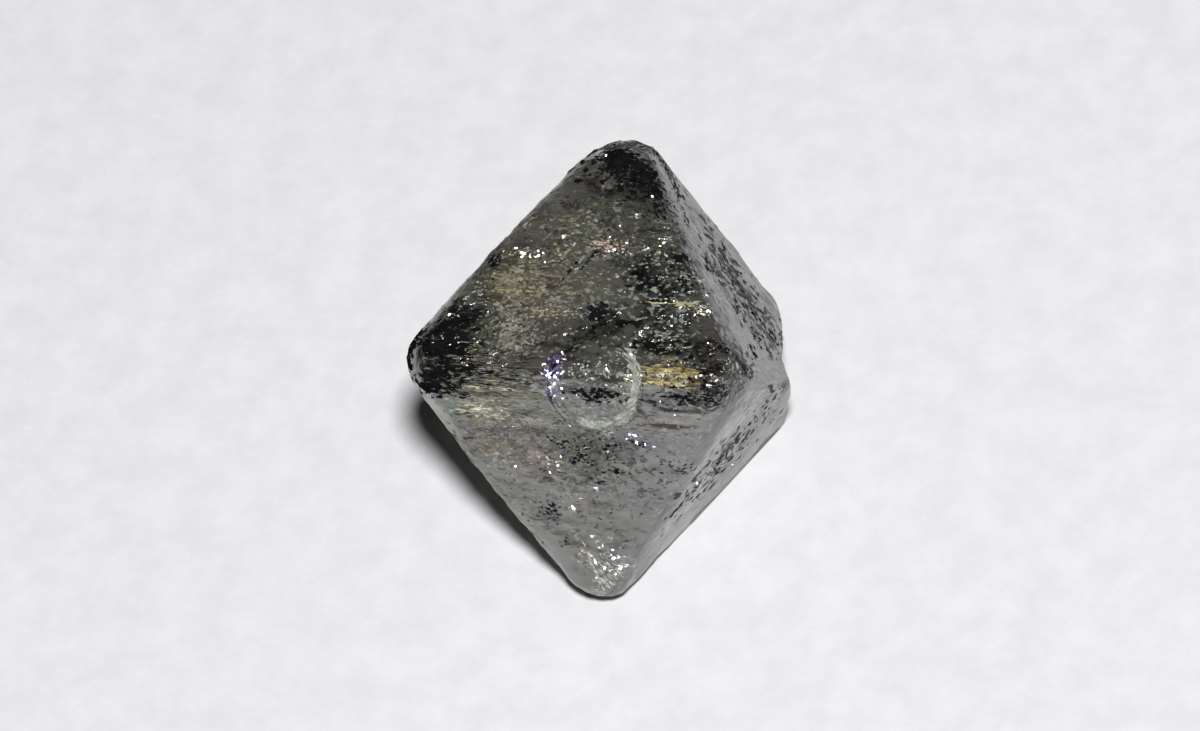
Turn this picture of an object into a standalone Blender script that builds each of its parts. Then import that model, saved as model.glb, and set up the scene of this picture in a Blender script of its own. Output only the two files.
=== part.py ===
"""Octahedral diamond crystal of about half a carat, lying on one of its eight triangular faces.

The crystal is one solid. Its form is a regular octahedron. Low ledges run along the edges of its
faces, small triangular etch pits (trigons) are sunk in them, the edges and corners are rounded,
the right corner is broken short with a nick across the break, and a low round lump sits on the
ridge between the two broad upper faces.

Every point of the surface is seen from the crystal's centre, so the surface is one function: the
reach in each direction. It is sampled on a fine triangular grid over the eight faces, whose rows
run along the ledges and the sides of the trigons, and then thinned where it is flat.

The crystal's own axes are x to the tip corner, y to the front corner and z to the left corner, a
left-handed set, with the tail, back and right corners opposite. A face is named by the signs of
its three corners on those axes: (1, 1, 1) is the face between the tip, front and left corners. It
lies level on top, and (-1, -1, -1) is the resting face below it. The part's frame has its origin
in the middle of the resting face, +Z up and +Y towards the tip corner.
"""

from math import cos, radians, sin, sqrt

import bpy
import numpy as np

# ---- Driving dimensions, in millimetres and degrees ----

METRES = 0.001
SEMI_AXIS = 2.860                      # centre to a corner of the sharp octahedron
FACE_HEIGHT = SEMI_AXIS / sqrt(3)      # centre to a face
FACE_SPAN = SEMI_AXIS * sqrt(3 / 2)    # a face's height, from an edge to the corner opposite
EDGE_HEIGHT = SEMI_AXIS / sqrt(2)      # centre to the middle of an edge

# Rounding: fillet radius along the edges, along the broader ones and at each corner.
EDGE_ROUND = 0.16
BROAD_EDGES = {(1, 1, 0): 0.34, (-1, 1, 0): 0.30, (0, 1, -1): 0.24}   # front to tip, tail and right
CORNER_ROUND = {"tip": 0.40, "tail": 0.47, "front": 0.44, "back": 0.47, "left": 0.48, "right": 0.06}
CORNER_LEAN = {"tip": (0, 0, 0.16), "tail": (0, 0, 0.16)}   # their rounding leans to the left corner
CORNER_FAR = 0.72                      # cosine from a corner at which its rounding begins
BLEND = 50.0                           # sharpness of the blend at the break's rim, per millimetre

# The blunt cone that ends the tip corner.
TIP_HEIGHT = 2.49                      # centre to the top of the cone
TIP_ROUND = 0.15                       # how round its top is
TIP_SLOPE = 0.60                       # how steeply it falls away
TIP_LEAN = -0.035                      # its axis leans from the tip axis away from the left corner

# The break at the right corner: a plane that leans to the front and the tip, and a nick across it.
BREAK_LEAN = 25.8                      # degrees from the right axis towards the front
BREAK_TURN = 6.2                       # and then towards the tip
BREAK_HEIGHT = 1.947                   # centre to the break
NICK_OFFSET = 0.19                     # from the right axis towards the tip
NICK_WIDTH = 0.34
NICK_DEPTH = 0.13

# The round lump across the front-left ridge.
LUMP_RADIUS = 0.52
LUMP_RISE = 0.070
LUMP_CROWN = 0.040                     # how much more it rises in its middle
LUMP_RIM = 0.09                        # width of its sloping rim
LUMP_PLACE = (0.319, -0.117)           # from the ridge's middle: to the front, to the tip
LUMP_LEAN = (14.4, 2.7)                # its axis leans so many degrees to the front, to the tip

# The walls of ledges and trigons, and the grid that they are sampled on.
WALL = 0.035                           # width of a ledge's sloping wall
TRIGON_WALL = 0.85                     # a trigon's wall over the radius of its inscribed circle
GRID = 96                              # cells along each edge of the octahedron
THINNED_TO = 9000                      # triangles left after thinning
FLAT = 1e-5                            # the resting face is level to this

CRYSTAL_COLOUR = (0.42, 0.42, 0.39, 1.0)
CRYSTAL_ROUGHNESS = 0.05
DIAMOND_IOR = 2.417
SHARP_ANGLE = 14                       # creases gentler than this many degrees are shaded smooth

CORNERS = {"tip": (1, 0, 0), "tail": (-1, 0, 0), "front": (0, 1, 0),
           "back": (0, -1, 0), "left": (0, 0, 1), "right": (0, 0, -1)}
TO_PART = np.array([(0.0, sqrt(2 / 3), 1 / sqrt(3)),
                    (sqrt(1 / 2), -sqrt(1 / 6), 1 / sqrt(3)),
                    (-sqrt(1 / 2), -sqrt(1 / 6), 1 / sqrt(3))])


def ledge(depth, x=(0, 9), y=(0, 9), z=(0, 9)):
    """A part of a face that lies lower: its range of distance from the edge opposite each corner."""
    return depth, (x, y, z)


# ---- Ledges and trigons of each face ----

LEDGES = {
    (1, 1, 1): (
        ledge(0.012, x=(-1, 0.93), y=(-1, 0.88)), ledge(0.012, x=(-1, 0.76), y=(1.05, 1.60)),
        ledge(0.014, x=(-1, 0.98), y=(2.10, 9)), ledge(0.018, x=(-1, 0.52), y=(-1, 1.05)),
        ledge(0.026, x=(-1, 0.40), y=(2.10, 9)), ledge(0.030, x=(-1, 0.33), y=(-1, 1.20)),
        ledge(0.036, x=(-1, 0.24), y=(2.25, 9)), ledge(0.040, x=(-1, 0.17), y=(-1, 1.35)),
        ledge(0.014, y=(-1, 0.16)), ledge(0.024, y=(-1, 0.07), x=(0.5, 9)),
        ledge(0.024, x=(2.55, 9))),
    (-1, 1, 1): (
        ledge(0.010, x=(-1, 0.86), y=(-1, 1.50)), ledge(0.016, x=(-1, 0.66), y=(2.20, 9)),
        ledge(0.018, x=(-1, 0.40), y=(-1, 1.05)), ledge(0.026, x=(-1, 0.46), y=(2.38, 9)),
        ledge(0.028, x=(-1, 0.26), y=(-1, 1.25)), ledge(0.038, x=(-1, 0.15), y=(-1, 1.35)),
        ledge(0.014, y=(-1, 0.13)), ledge(0.024, y=(-1, 0.05), x=(0.6, 9)), ledge(0.026, x=(2.70, 9))),
    (1, 1, -1): (
        ledge(0.010, y=(-1, 0.92), x=(0.40, 9)), ledge(0.018, y=(-1, 0.55)),
        ledge(0.026, y=(-1, 0.20)), ledge(0.024, x=(-1, 0.30)), ledge(0.045, x=(-1, 0.13))),
    (-1, 1, -1): (
        ledge(0.006, y=(-1, 1.05), x=(0.30, 9)), ledge(0.010, y=(-1, 0.62)),
        ledge(0.014, y=(-1, 0.24)), ledge(0.022, x=(-1, 0.34), z=(0, 1.90)),
        ledge(0.045, x=(-1, 0.12), z=(0, 1.90))),
    (1, -1, 1): (
        ledge(0.014, y=(-1, 0.30)), ledge(0.024, y=(-1, 0.12)), ledge(0.024, z=(-1, 0.60)),
        ledge(0.048, z=(-1, 0.33), x=(-1, 1.8)), ledge(0.070, z=(-1, 0.14)),
        ledge(0.026, x=(-1, 0.46)), ledge(0.052, x=(-1, 0.17))),
    (-1, -1, 1): (
        ledge(0.018, y=(-1, 0.22)), ledge(0.034, y=(-1, 0.09)), ledge(0.026, z=(-1, 0.48)),
        ledge(0.050, z=(-1, 0.18)), ledge(0.022, x=(-1, 0.56), y=(0.7, 9)),
        ledge(0.052, x=(-1, 0.21))),
    (1, -1, -1): (
        ledge(0.016, y=(-1, 0.52)), ledge(0.024, y=(-1, 0.20)), ledge(0.026, z=(-1, 0.66)),
        ledge(0.048, z=(-1, 0.40), x=(-1, 1.9)), ledge(0.070, z=(-1, 0.17)),
        ledge(0.022, x=(-1, 0.38)), ledge(0.044, x=(-1, 0.15))),
    (-1, -1, -1): (
        ledge(0.060, z=(-1, 0.12)), ledge(0.044, x=(-1, 0.16), z=(0, 2.00))),
}

# Trigons: centre's distance from the edges opposite the x and y corners, side length, depth.
TRIGONS = {
    (1, 1, 1): ((2.42, 0.52, 0.52, 0.045), (1.60, 0.52, 0.34, 0.030), (1.55, 1.32, 0.40, 0.036),
                (1.22, 1.90, 0.34, 0.030), (1.10, 0.62, 0.30, 0.024)),
    (-1, 1, 1): ((1.48, 0.68, 0.30, 0.026), (1.06, 1.42, 0.28, 0.024), (2.22, 0.66, 0.22, 0.018)),
    (1, 1, -1): ((2.05, 0.78, 0.34, 0.030), (1.42, 1.34, 0.38, 0.034), (1.20, 0.80, 0.34, 0.030)),
    (-1, 1, -1): ((2.02, 0.82, 0.30, 0.028), (1.30, 0.96, 0.36, 0.032), (1.08, 1.50, 0.28, 0.026)),
    (1, -1, 1): ((1.86, 0.84, 0.40, 0.060), (1.18, 0.76, 0.30, 0.045), (0.92, 1.46, 0.26, 0.040)),
    (-1, -1, 1): ((1.78, 1.04, 0.34, 0.050), (1.16, 0.82, 0.42, 0.060), (0.98, 1.50, 0.24, 0.040)),
    (1, -1, -1): ((1.96, 0.76, 0.44, 0.060), (1.30, 0.96, 0.28, 0.045), (1.12, 1.40, 0.24, 0.040)),
    (-1, -1, -1): ((1.56, 0.70, 0.36, 0.050), (1.06, 1.44, 0.28, 0.040)),
}


# ---- The surface: the crystal's reach from its centre in each direction ----

def smooth(value):
    """A smooth step from 0 to 1."""
    value = np.clip(value, 0, 1)
    return value * value * (3 - 2 * value)


def face_relief(signs, distances):
    """Depth below a face, from the distances to the edges opposite its x, y and z corners."""
    depth = np.zeros(len(distances))
    for ledge_depth, ranges in LEDGES[signs]:
        inside = np.ones(len(distances))
        for axis, (low, high) in enumerate(ranges):
            above = 1 if low < 0 else (distances[:, axis] - low) / WALL + 0.5
            below = (high - distances[:, axis]) / WALL + 0.5
            inside = np.minimum(inside, np.clip(np.minimum(above, below), 0, 1))
        depth = np.maximum(depth, ledge_depth * inside)
    for x, y, side, trigon_depth in TRIGONS[signs]:
        middle = np.array((x, y, FACE_SPAN - x - y))
        radius = side / (2 * sqrt(3))
        into = (radius - (distances - middle).max(axis=1)) / (radius * TRIGON_WALL)
        depth += trigon_depth * np.clip(into, 0, 1)
    return depth


def faces_reach(directions):
    """Reach to the eight faces with their ledges and trigons."""
    reach = np.full(len(directions), 2 * SEMI_AXIS)
    for signs in LEDGES:
        toward = directions * signs
        total = toward.sum(axis=1)
        near = toward.min(axis=1) > -0.25 * total
        distances = FACE_SPAN * toward[near] / total[near, None]
        height = FACE_HEIGHT - face_relief(signs, distances)
        reach[near] = np.minimum(reach[near], height * sqrt(3) / total[near])
    return reach


def fillet_radius(directions):
    """Rounding radius in each direction: the edges' own, or near a corner that corner's."""
    radius = np.full(len(directions), EDGE_ROUND)
    for corner, corner_radius in CORNER_ROUND.items():
        middle = np.array(CORNERS[corner]) + CORNER_LEAN.get(corner, 0)
        cosine = directions @ middle / np.linalg.norm(middle)
        near = np.clip((cosine - CORNER_FAR) / (1 - CORNER_FAR), 0, 1)
        radius += (corner_radius - EDGE_ROUND) * near ** 2
    for edge, edge_radius in BROAD_EDGES.items():
        toward = directions * np.where(np.array(edge) == 0, 1, edge)
        off = np.abs(directions[:, edge.index(0)])
        along = np.minimum(*(toward[:, axis] for axis in range(3) if edge[axis]))
        near = np.clip(1 - off / 0.5, 0, 1) * smooth(along / 0.35)
        radius = np.maximum(radius, EDGE_ROUND + (edge_radius - EDGE_ROUND) * smooth(near * 1.6))
    return radius


def distance_to_octahedron(points, semi_axis):
    """Distance from each point to the octahedron of the given semi-axis."""
    size = -np.sort(-np.abs(points), axis=1)
    excess = (np.cumsum(size, axis=1) - semi_axis[:, None]) / np.arange(1, 4)
    level = np.maximum(excess.max(axis=1), 0)
    nearest = np.maximum(size - level[:, None], 0)
    return np.linalg.norm(size - nearest, axis=1)


def rounded_reach(directions, rounds=40):
    """Reach to the rounded octahedron, cut short at the blunt tip, the break and its nick."""
    radius = fillet_radius(directions)
    inner = (FACE_HEIGHT - radius) * sqrt(3)
    lean, turn = radians(BREAK_LEAN), radians(BREAK_TURN)
    outward = np.array((sin(turn), cos(turn) * sin(lean), -cos(turn) * cos(lean)))
    tip = np.array((1, 0, TIP_LEAN)) / sqrt(1 + TIP_LEAN ** 2)
    facing = np.maximum(directions @ outward, 0.05)
    across = directions[:, 0] / facing * BREAK_HEIGHT - NICK_OFFSET
    break_height = BREAK_HEIGHT - NICK_DEPTH * np.clip(1 - np.abs(across) / NICK_WIDTH, 0, 1)
    low = np.full(len(directions), 0.4 * SEMI_AXIS)
    high = np.full(len(directions), 1.1 * SEMI_AXIS)
    for _ in range(rounds):
        middle = (low + high) / 2
        points = directions * middle[:, None]
        over_octahedron = distance_to_octahedron(points, inner) - radius
        over_break = points @ outward - break_height
        along_tip = points @ tip
        around_tip = np.linalg.norm(points - np.outer(along_tip, tip), axis=1)
        drop = TIP_SLOPE * (np.hypot(around_tip, TIP_ROUND) - TIP_ROUND)
        over_tip = (along_tip + drop - TIP_HEIGHT) / sqrt(1 + TIP_SLOPE ** 2)
        over = np.logaddexp(BLEND * np.maximum(over_octahedron, over_tip), BLEND * over_break)
        high = np.where(over > 0, middle, high)
        low = np.where(over > 0, low, middle)
    return low


def lump_rise(points):
    """How much the lump raises each point of the surface."""
    turn, tilt = (radians(angle) for angle in LUMP_LEAN)
    ridge = np.array((0, 1, 1)) / sqrt(2)
    along = np.array((0, 1, -1)) / sqrt(2)
    axis = cos(tilt) * (cos(turn) * ridge + sin(turn) * along) + sin(tilt) * np.array((1, 0, 0))
    middle = ridge * EDGE_HEIGHT + along * LUMP_PLACE[0] + np.array((1, 0, 0)) * LUMP_PLACE[1]
    offset = points - middle
    from_axis = np.linalg.norm(offset - np.outer(offset @ axis, axis), axis=1)
    rise = LUMP_RISE * smooth((LUMP_RADIUS - from_axis) / LUMP_RIM)
    rise += LUMP_CROWN * np.clip(1 - (from_axis / LUMP_RADIUS) ** 2, 0, 1)
    return np.where(points @ axis > 0, rise, 0)


def crystal_points(directions):
    """The surface point in each direction, in the crystal's own axes."""
    reach = np.minimum(faces_reach(directions), rounded_reach(directions))
    reach += lump_rise(directions * reach[:, None])
    return directions * reach[:, None]


# ---- The solid ----

def grid_over_octahedron(cells):
    """Unit directions and triangles of a triangular grid over the octahedron's eight faces."""
    index, corners, triangles = {}, [], []

    def vertex(signs, *steps):
        key = tuple(sign * step for sign, step in zip(signs, steps))
        if key not in index:
            index[key] = len(corners)
            corners.append(key)
        return index[key]

    for signs in LEDGES:
        turned = signs[0] * signs[1] * signs[2] > 0
        for i in range(cells):
            for j in range(cells - i):
                k = cells - i - j
                here = vertex(signs, i, j, k)
                over = vertex(signs, i + 1, j, k - 1)
                beside = vertex(signs, i, j + 1, k - 1)
                triangles.append((here, beside, over) if turned else (here, over, beside))
                if k > 1:
                    far = vertex(signs, i + 1, j + 1, k - 2)
                    triangles.append((over, beside, far) if turned else (over, far, beside))
    directions = np.array(corners, dtype=float)
    return directions / np.linalg.norm(directions, axis=1)[:, None], triangles


def crystal_material():
    """Clear diamond with a grey tint."""
    material = bpy.data.materials.new("diamond")
    material.use_nodes = True
    shader = material.node_tree.nodes["Principled BSDF"]
    shader.inputs["Base Color"].default_value = CRYSTAL_COLOUR
    shader.inputs["Roughness"].default_value = CRYSTAL_ROUGHNESS
    shader.inputs["Metallic"].default_value = 0.0
    shader.inputs["IOR"].default_value = DIAMOND_IOR
    return material


def make_crystal():
    """The crystal on its resting face, at its real size."""
    directions, triangles = grid_over_octahedron(GRID)
    points = crystal_points(directions) @ TO_PART
    points[:, 2] += FACE_HEIGHT
    points[np.abs(points[:, 2]) < FLAT, 2] = 0.0
    mesh = bpy.data.meshes.new("diamond_crystal")
    mesh.from_pydata((points * METRES).tolist(), [], triangles)
    mesh.materials.append(crystal_material())
    crystal = bpy.data.objects.new("diamond_crystal", mesh)
    bpy.context.scene.collection.objects.link(crystal)
    thin = crystal.modifiers.new("thin", "DECIMATE")
    thin.decimate_type = "COLLAPSE"
    thin.ratio = THINNED_TO / len(triangles)
    mesh.shade_smooth()
    mesh.set_sharp_from_angle(angle=radians(SHARP_ANGLE))
    return crystal


for old in list(bpy.data.objects):
    bpy.data.objects.remove(old)
make_crystal()
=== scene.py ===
"""Looks of the octahedral diamond crystal: a clear grey stone with etched faces on white paper.

The crystal's surface is the part's own reach function, sampled more finely and given the fine
relief that the solid leaves out: growth lines along the edges, small trigons and a faint swell.
Dark flecks, fine cracks and satin films lie inside it, thin marks and glinting facets in its
surface. The crystal's own axes are x to the tip corner, y to the front corner and z to the left
corner, and lengths are in millimetres until the meshes.
"""

from math import cos, radians, sin, sqrt

import bpy
import numpy as np
from mathutils import Matrix, Vector, noise


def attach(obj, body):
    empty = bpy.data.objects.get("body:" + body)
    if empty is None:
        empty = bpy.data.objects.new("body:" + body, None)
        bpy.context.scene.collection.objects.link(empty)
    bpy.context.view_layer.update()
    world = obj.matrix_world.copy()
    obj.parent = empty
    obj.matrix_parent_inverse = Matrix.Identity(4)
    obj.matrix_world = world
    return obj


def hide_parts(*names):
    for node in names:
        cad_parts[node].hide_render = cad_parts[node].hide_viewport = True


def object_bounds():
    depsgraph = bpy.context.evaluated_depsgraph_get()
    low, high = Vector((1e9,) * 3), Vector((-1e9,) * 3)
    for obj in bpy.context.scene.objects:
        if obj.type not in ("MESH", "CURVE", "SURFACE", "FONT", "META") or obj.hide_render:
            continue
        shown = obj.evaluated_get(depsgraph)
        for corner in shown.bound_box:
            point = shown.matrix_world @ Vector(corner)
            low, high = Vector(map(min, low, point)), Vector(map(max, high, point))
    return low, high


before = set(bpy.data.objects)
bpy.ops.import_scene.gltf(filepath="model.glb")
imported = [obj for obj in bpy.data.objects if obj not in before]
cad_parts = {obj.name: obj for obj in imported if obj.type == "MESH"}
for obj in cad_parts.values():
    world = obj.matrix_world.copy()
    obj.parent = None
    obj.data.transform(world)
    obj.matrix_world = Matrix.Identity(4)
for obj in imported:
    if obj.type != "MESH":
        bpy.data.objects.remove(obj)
cad_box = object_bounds()

# ---- The solid's dimensions, as the part states them ----

METRES = 0.001
SEMI_AXIS = 2.860                      # centre to a corner of the sharp octahedron
FACE_HEIGHT = SEMI_AXIS / sqrt(3)      # centre to a face
FACE_SPAN = SEMI_AXIS * sqrt(3 / 2)    # a face's height, from an edge to the corner opposite
EDGE_HEIGHT = SEMI_AXIS / sqrt(2)      # centre to the middle of an edge
EDGE_ROUND = 0.16
BROAD_EDGES = {(1, 1, 0): 0.34, (-1, 1, 0): 0.30, (0, 1, -1): 0.24}   # front to tip, tail and right
CORNER_ROUND = {"tip": 0.40, "tail": 0.47, "front": 0.44, "back": 0.47, "left": 0.48, "right": 0.06}
CORNER_LEAN = {"tip": (0, 0, 0.16), "tail": (0, 0, 0.16)}   # their rounding leans to the left corner
CORNER_FAR = 0.72                      # cosine from a corner at which its rounding begins
TIP_HEIGHT = 2.49                      # centre to the top of the tip corner's blunt cone
TIP_ROUND = 0.15                       # how round its top is
TIP_SLOPE = 0.60                       # how steeply it falls away
TIP_LEAN = -0.035                      # its axis leans from the tip axis away from the left corner
BREAK_LEAN = 25.8                      # degrees from the right axis towards the front
BREAK_TURN = 6.2                       # and then towards the tip
BREAK_HEIGHT = 1.947                   # centre to the break
BLEND = 50.0                           # sharpness of the blend at the break's rim, per millimetre
NICK_OFFSET = 0.19                     # from the right axis towards the tip
NICK_WIDTH = 0.34
NICK_DEPTH = 0.13
LUMP_RADIUS = 0.52
LUMP_RISE = 0.070
LUMP_CROWN = 0.040                     # how much more it rises in its middle
LUMP_RIM = 0.09                        # width of its sloping rim
LUMP_PLACE = (0.319, -0.117)           # from the ridge's middle: to the front, to the tip
LUMP_LEAN = (14.4, 2.7)                # its axis leans so many degrees to the front, to the tip
WALL = 0.035                           # width of a ledge's sloping wall
TRIGON_WALL = 0.85                     # a trigon's wall over the radius of its inscribed circle
WANDER = 0.030                         # how far the outlines of ledges and trigons stray
WANDER_SIZE = 0.30
FINE_WANDER = 0.016
FINE_WANDER_SIZE = 0.09
RIDGE = np.array((0, 1, 1)) / sqrt(2)  # to the middle of the ridge that carries the lump
RIDGE_RUN = np.array((0, 1, -1)) / sqrt(2)    # along it, to the front corner
TO_TIP = np.array((1, 0, 0))
LUMP_MIDDLE = RIDGE * EDGE_HEIGHT + RIDGE_RUN * LUMP_PLACE[0] + TO_TIP * LUMP_PLACE[1]
CORNERS = {"tip": (1, 0, 0), "tail": (-1, 0, 0), "front": (0, 1, 0),
           "back": (0, -1, 0), "left": (0, 0, 1), "right": (0, 0, -1)}
TO_PART = np.array([(0.0, sqrt(2 / 3), 1 / sqrt(3)),
                    (sqrt(1 / 2), -sqrt(1 / 6), 1 / sqrt(3)),
                    (-sqrt(1 / 2), -sqrt(1 / 6), 1 / sqrt(3))])

# The faces, named for where the photo shows them. The crystal lies on the resting face, and the
# upper face is level above it.
UPPER, LOWER = (1, 1, 1), (-1, 1, 1)
RIGHT_UPPER, RIGHT_LOWER = (1, 1, -1), (-1, 1, -1)
BACK_UPPER, BACK_LOWER, BACK_RIGHT = (1, -1, 1), (-1, -1, 1), (1, -1, -1)
RESTING = (-1, -1, -1)
HIDDEN = (BACK_UPPER, BACK_LOWER, BACK_RIGHT)


def by_face(*groups):
    """Rows that start with their face, from groups of rows that share one."""
    return [(signs, *row) for signs, *rows in groups for row in rows]


# ---- Ledges and trigons of each face ----

PAST_EDGE = -1
WHOLE = (0, 9)


def ledge(depth, x=WHOLE, y=WHOLE, z=WHOLE):
    """A part of a face that lies lower: its range of distance from the edge opposite each corner, or
    the range's end alone where it starts past that edge."""
    return depth, [span if isinstance(span, tuple) else (PAST_EDGE, span) for span in (x, y, z)]


LEDGES = {
    UPPER: (ledge(0.012, x=0.93, y=0.88), ledge(0.012, x=0.76, y=(1.05, 1.6)),
        ledge(0.014, x=0.98, y=(2.1, 9)), ledge(0.018, x=0.52, y=1.05), ledge(0.026, x=0.4, y=(2.1, 9)),
        ledge(0.03, x=0.33, y=1.2), ledge(0.036, x=0.24, y=(2.25, 9)), ledge(0.04, x=0.17, y=1.35),
        ledge(0.014, y=0.16), ledge(0.024, y=0.07, x=(0.5, 9)), ledge(0.024, x=(2.55, 9))),
    LOWER: (ledge(0.01, x=0.86, y=1.5), ledge(0.016, x=0.66, y=(2.2, 9)), ledge(0.018, x=0.4, y=1.05),
        ledge(0.026, x=0.46, y=(2.38, 9)), ledge(0.028, x=0.26, y=1.25), ledge(0.038, x=0.15, y=1.35),
        ledge(0.014, y=0.13), ledge(0.024, y=0.05, x=(0.6, 9)), ledge(0.026, x=(2.7, 9))),
    RIGHT_UPPER: (ledge(0.01, y=0.92, x=(0.4, 9)), ledge(0.018, y=0.55), ledge(0.026, y=0.2),
        ledge(0.024, x=0.3), ledge(0.045, x=0.13)),
    RIGHT_LOWER: (ledge(0.006, y=1.05, x=(0.3, 9)), ledge(0.01, y=0.62), ledge(0.014, y=0.24),
        ledge(0.022, x=0.34, z=(0, 1.9)), ledge(0.045, x=0.12, z=(0, 1.9))),
    BACK_UPPER: (ledge(0.014, y=0.3), ledge(0.024, y=0.12), ledge(0.024, z=0.6),
        ledge(0.048, z=0.33, x=1.8), ledge(0.07, z=0.14), ledge(0.026, x=0.46), ledge(0.052, x=0.17)),
    BACK_LOWER: (ledge(0.018, y=0.22), ledge(0.034, y=0.09), ledge(0.026, z=0.48), ledge(0.05, z=0.18),
        ledge(0.022, x=0.56, y=(0.7, 9)), ledge(0.052, x=0.21)),
    BACK_RIGHT: (ledge(0.016, y=0.52), ledge(0.024, y=0.2), ledge(0.026, z=0.66),
        ledge(0.048, z=0.4, x=1.9), ledge(0.07, z=0.17), ledge(0.022, x=0.38), ledge(0.044, x=0.15)),
    RESTING: (ledge(0.06, z=0.12), ledge(0.044, x=0.16, z=(0, 2.0))),
}

# Trigons: centre's distance from the edges opposite the x and y corners, side length, depth.
TRIGONS = {
    UPPER: ((2.42, 0.52, 0.52, 0.045), (1.6, 0.52, 0.34, 0.03), (1.55, 1.32, 0.4, 0.036),
        (1.22, 1.9, 0.34, 0.03), (1.1, 0.62, 0.3, 0.024)),
    LOWER: ((1.48, 0.68, 0.3, 0.026), (1.06, 1.42, 0.28, 0.024), (2.22, 0.66, 0.22, 0.018)),
    RIGHT_UPPER: ((2.05, 0.78, 0.34, 0.03), (1.42, 1.34, 0.38, 0.034), (1.2, 0.8, 0.34, 0.03)),
    RIGHT_LOWER: ((2.02, 0.82, 0.3, 0.028), (1.3, 0.96, 0.36, 0.032), (1.08, 1.5, 0.28, 0.026)),
    BACK_UPPER: ((1.86, 0.84, 0.4, 0.06), (1.18, 0.76, 0.3, 0.045), (0.92, 1.46, 0.26, 0.04)),
    BACK_LOWER: ((1.78, 1.04, 0.34, 0.05), (1.16, 0.82, 0.42, 0.06), (0.98, 1.5, 0.24, 0.04)),
    BACK_RIGHT: ((1.96, 0.76, 0.44, 0.06), (1.3, 0.96, 0.28, 0.045), (1.12, 1.4, 0.24, 0.04)),
    RESTING: ((1.56, 0.7, 0.36, 0.05), (1.06, 1.44, 0.28, 0.04)),
}


# ---- The surface: the crystal's reach from its centre in each direction ----

BROAD_OFF = 0.5                        # how far off its edge a direction still feels broad rounding
BROAD_END = 0.35                       # how far from its corners the edge is fully broad
BROAD_GAIN = 1.6
SEARCH_ROUNDS = 40
SEARCH_RANGE = (0.4, 1.1)              # of the reach, over the semi-axis
LEAST_FACING = 0.05                    # cosine to the break's normal, where its rim is measured
FACE_MARGIN = 0.25                     # how far past a face's edges its plane is still followed


def noise_at(points, size, seed=0.0):
    """Smooth noise of the given feature size, from -1 to 1, at each point."""
    offset = Vector((seed, 2.7 * seed, -1.3 * seed))
    return np.array([noise.noise(Vector(point) / size + offset) for point in points])


def smooth(value):
    """A smooth step from 0 to 1."""
    value = np.clip(value, 0, 1)
    return value * value * (3 - 2 * value)


def face_relief(signs, distances):
    """Depth below a face, from the distances to the edges opposite its x, y and z corners."""
    depth = np.zeros(len(distances))
    for ledge_depth, ranges in LEDGES[signs]:
        inside = np.ones(len(distances))
        for axis, (low, high) in enumerate(ranges):
            above = 1 if low < 0 else (distances[:, axis] - low) / WALL + 0.5
            below = (high - distances[:, axis]) / WALL + 0.5
            inside = np.minimum(inside, np.clip(np.minimum(above, below), 0, 1))
        depth = np.maximum(depth, ledge_depth * inside)
    for x, y, side, trigon_depth in TRIGONS[signs]:
        middle = np.array((x, y, FACE_SPAN - x - y))
        radius = side / (2 * sqrt(3))
        into = (radius - (distances - middle).max(axis=1)) / (radius * TRIGON_WALL)
        depth += trigon_depth * np.clip(into, 0, 1)
    return depth


def faces_reach(directions, wander):
    """Reach to the eight faces with their ledges and trigons, whose outlines wander a little."""
    reach = np.full(len(directions), 2 * SEMI_AXIS)
    for signs in LEDGES:
        toward = directions * signs
        total = toward.sum(axis=1)
        near = toward.min(axis=1) > -FACE_MARGIN * total
        distances = FACE_SPAN * toward[near] / total[near, None] + wander[near]
        height = FACE_HEIGHT - face_relief(signs, distances)
        reach[near] = np.minimum(reach[near], height * sqrt(3) / total[near])
    return reach


def fillet_radius(directions):
    """Rounding radius in each direction: the edges' own, or near a corner that corner's."""
    radius = np.full(len(directions), EDGE_ROUND)
    for corner, corner_radius in CORNER_ROUND.items():
        middle = np.array(CORNERS[corner]) + CORNER_LEAN.get(corner, 0)
        cosine = directions @ middle / np.linalg.norm(middle)
        near = np.clip((cosine - CORNER_FAR) / (1 - CORNER_FAR), 0, 1)
        radius += (corner_radius - EDGE_ROUND) * near ** 2
    for edge, edge_radius in BROAD_EDGES.items():
        toward = directions * np.where(np.array(edge) == 0, 1, edge)
        off = np.abs(directions[:, edge.index(0)])
        along = np.minimum(*(toward[:, axis] for axis in range(3) if edge[axis]))
        near = np.clip(1 - off / BROAD_OFF, 0, 1) * smooth(along / BROAD_END)
        broad = EDGE_ROUND + (edge_radius - EDGE_ROUND) * smooth(near * BROAD_GAIN)
        radius = np.maximum(radius, broad)
    return radius


def distance_to_octahedron(points, semi_axis):
    """Distance from each point to the octahedron of the given semi-axis."""
    size = -np.sort(-np.abs(points), axis=1)
    excess = (np.cumsum(size, axis=1) - semi_axis[:, None]) / np.arange(1, 4)
    level = np.maximum(excess.max(axis=1), 0)
    nearest = np.maximum(size - level[:, None], 0)
    return np.linalg.norm(size - nearest, axis=1)


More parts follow.
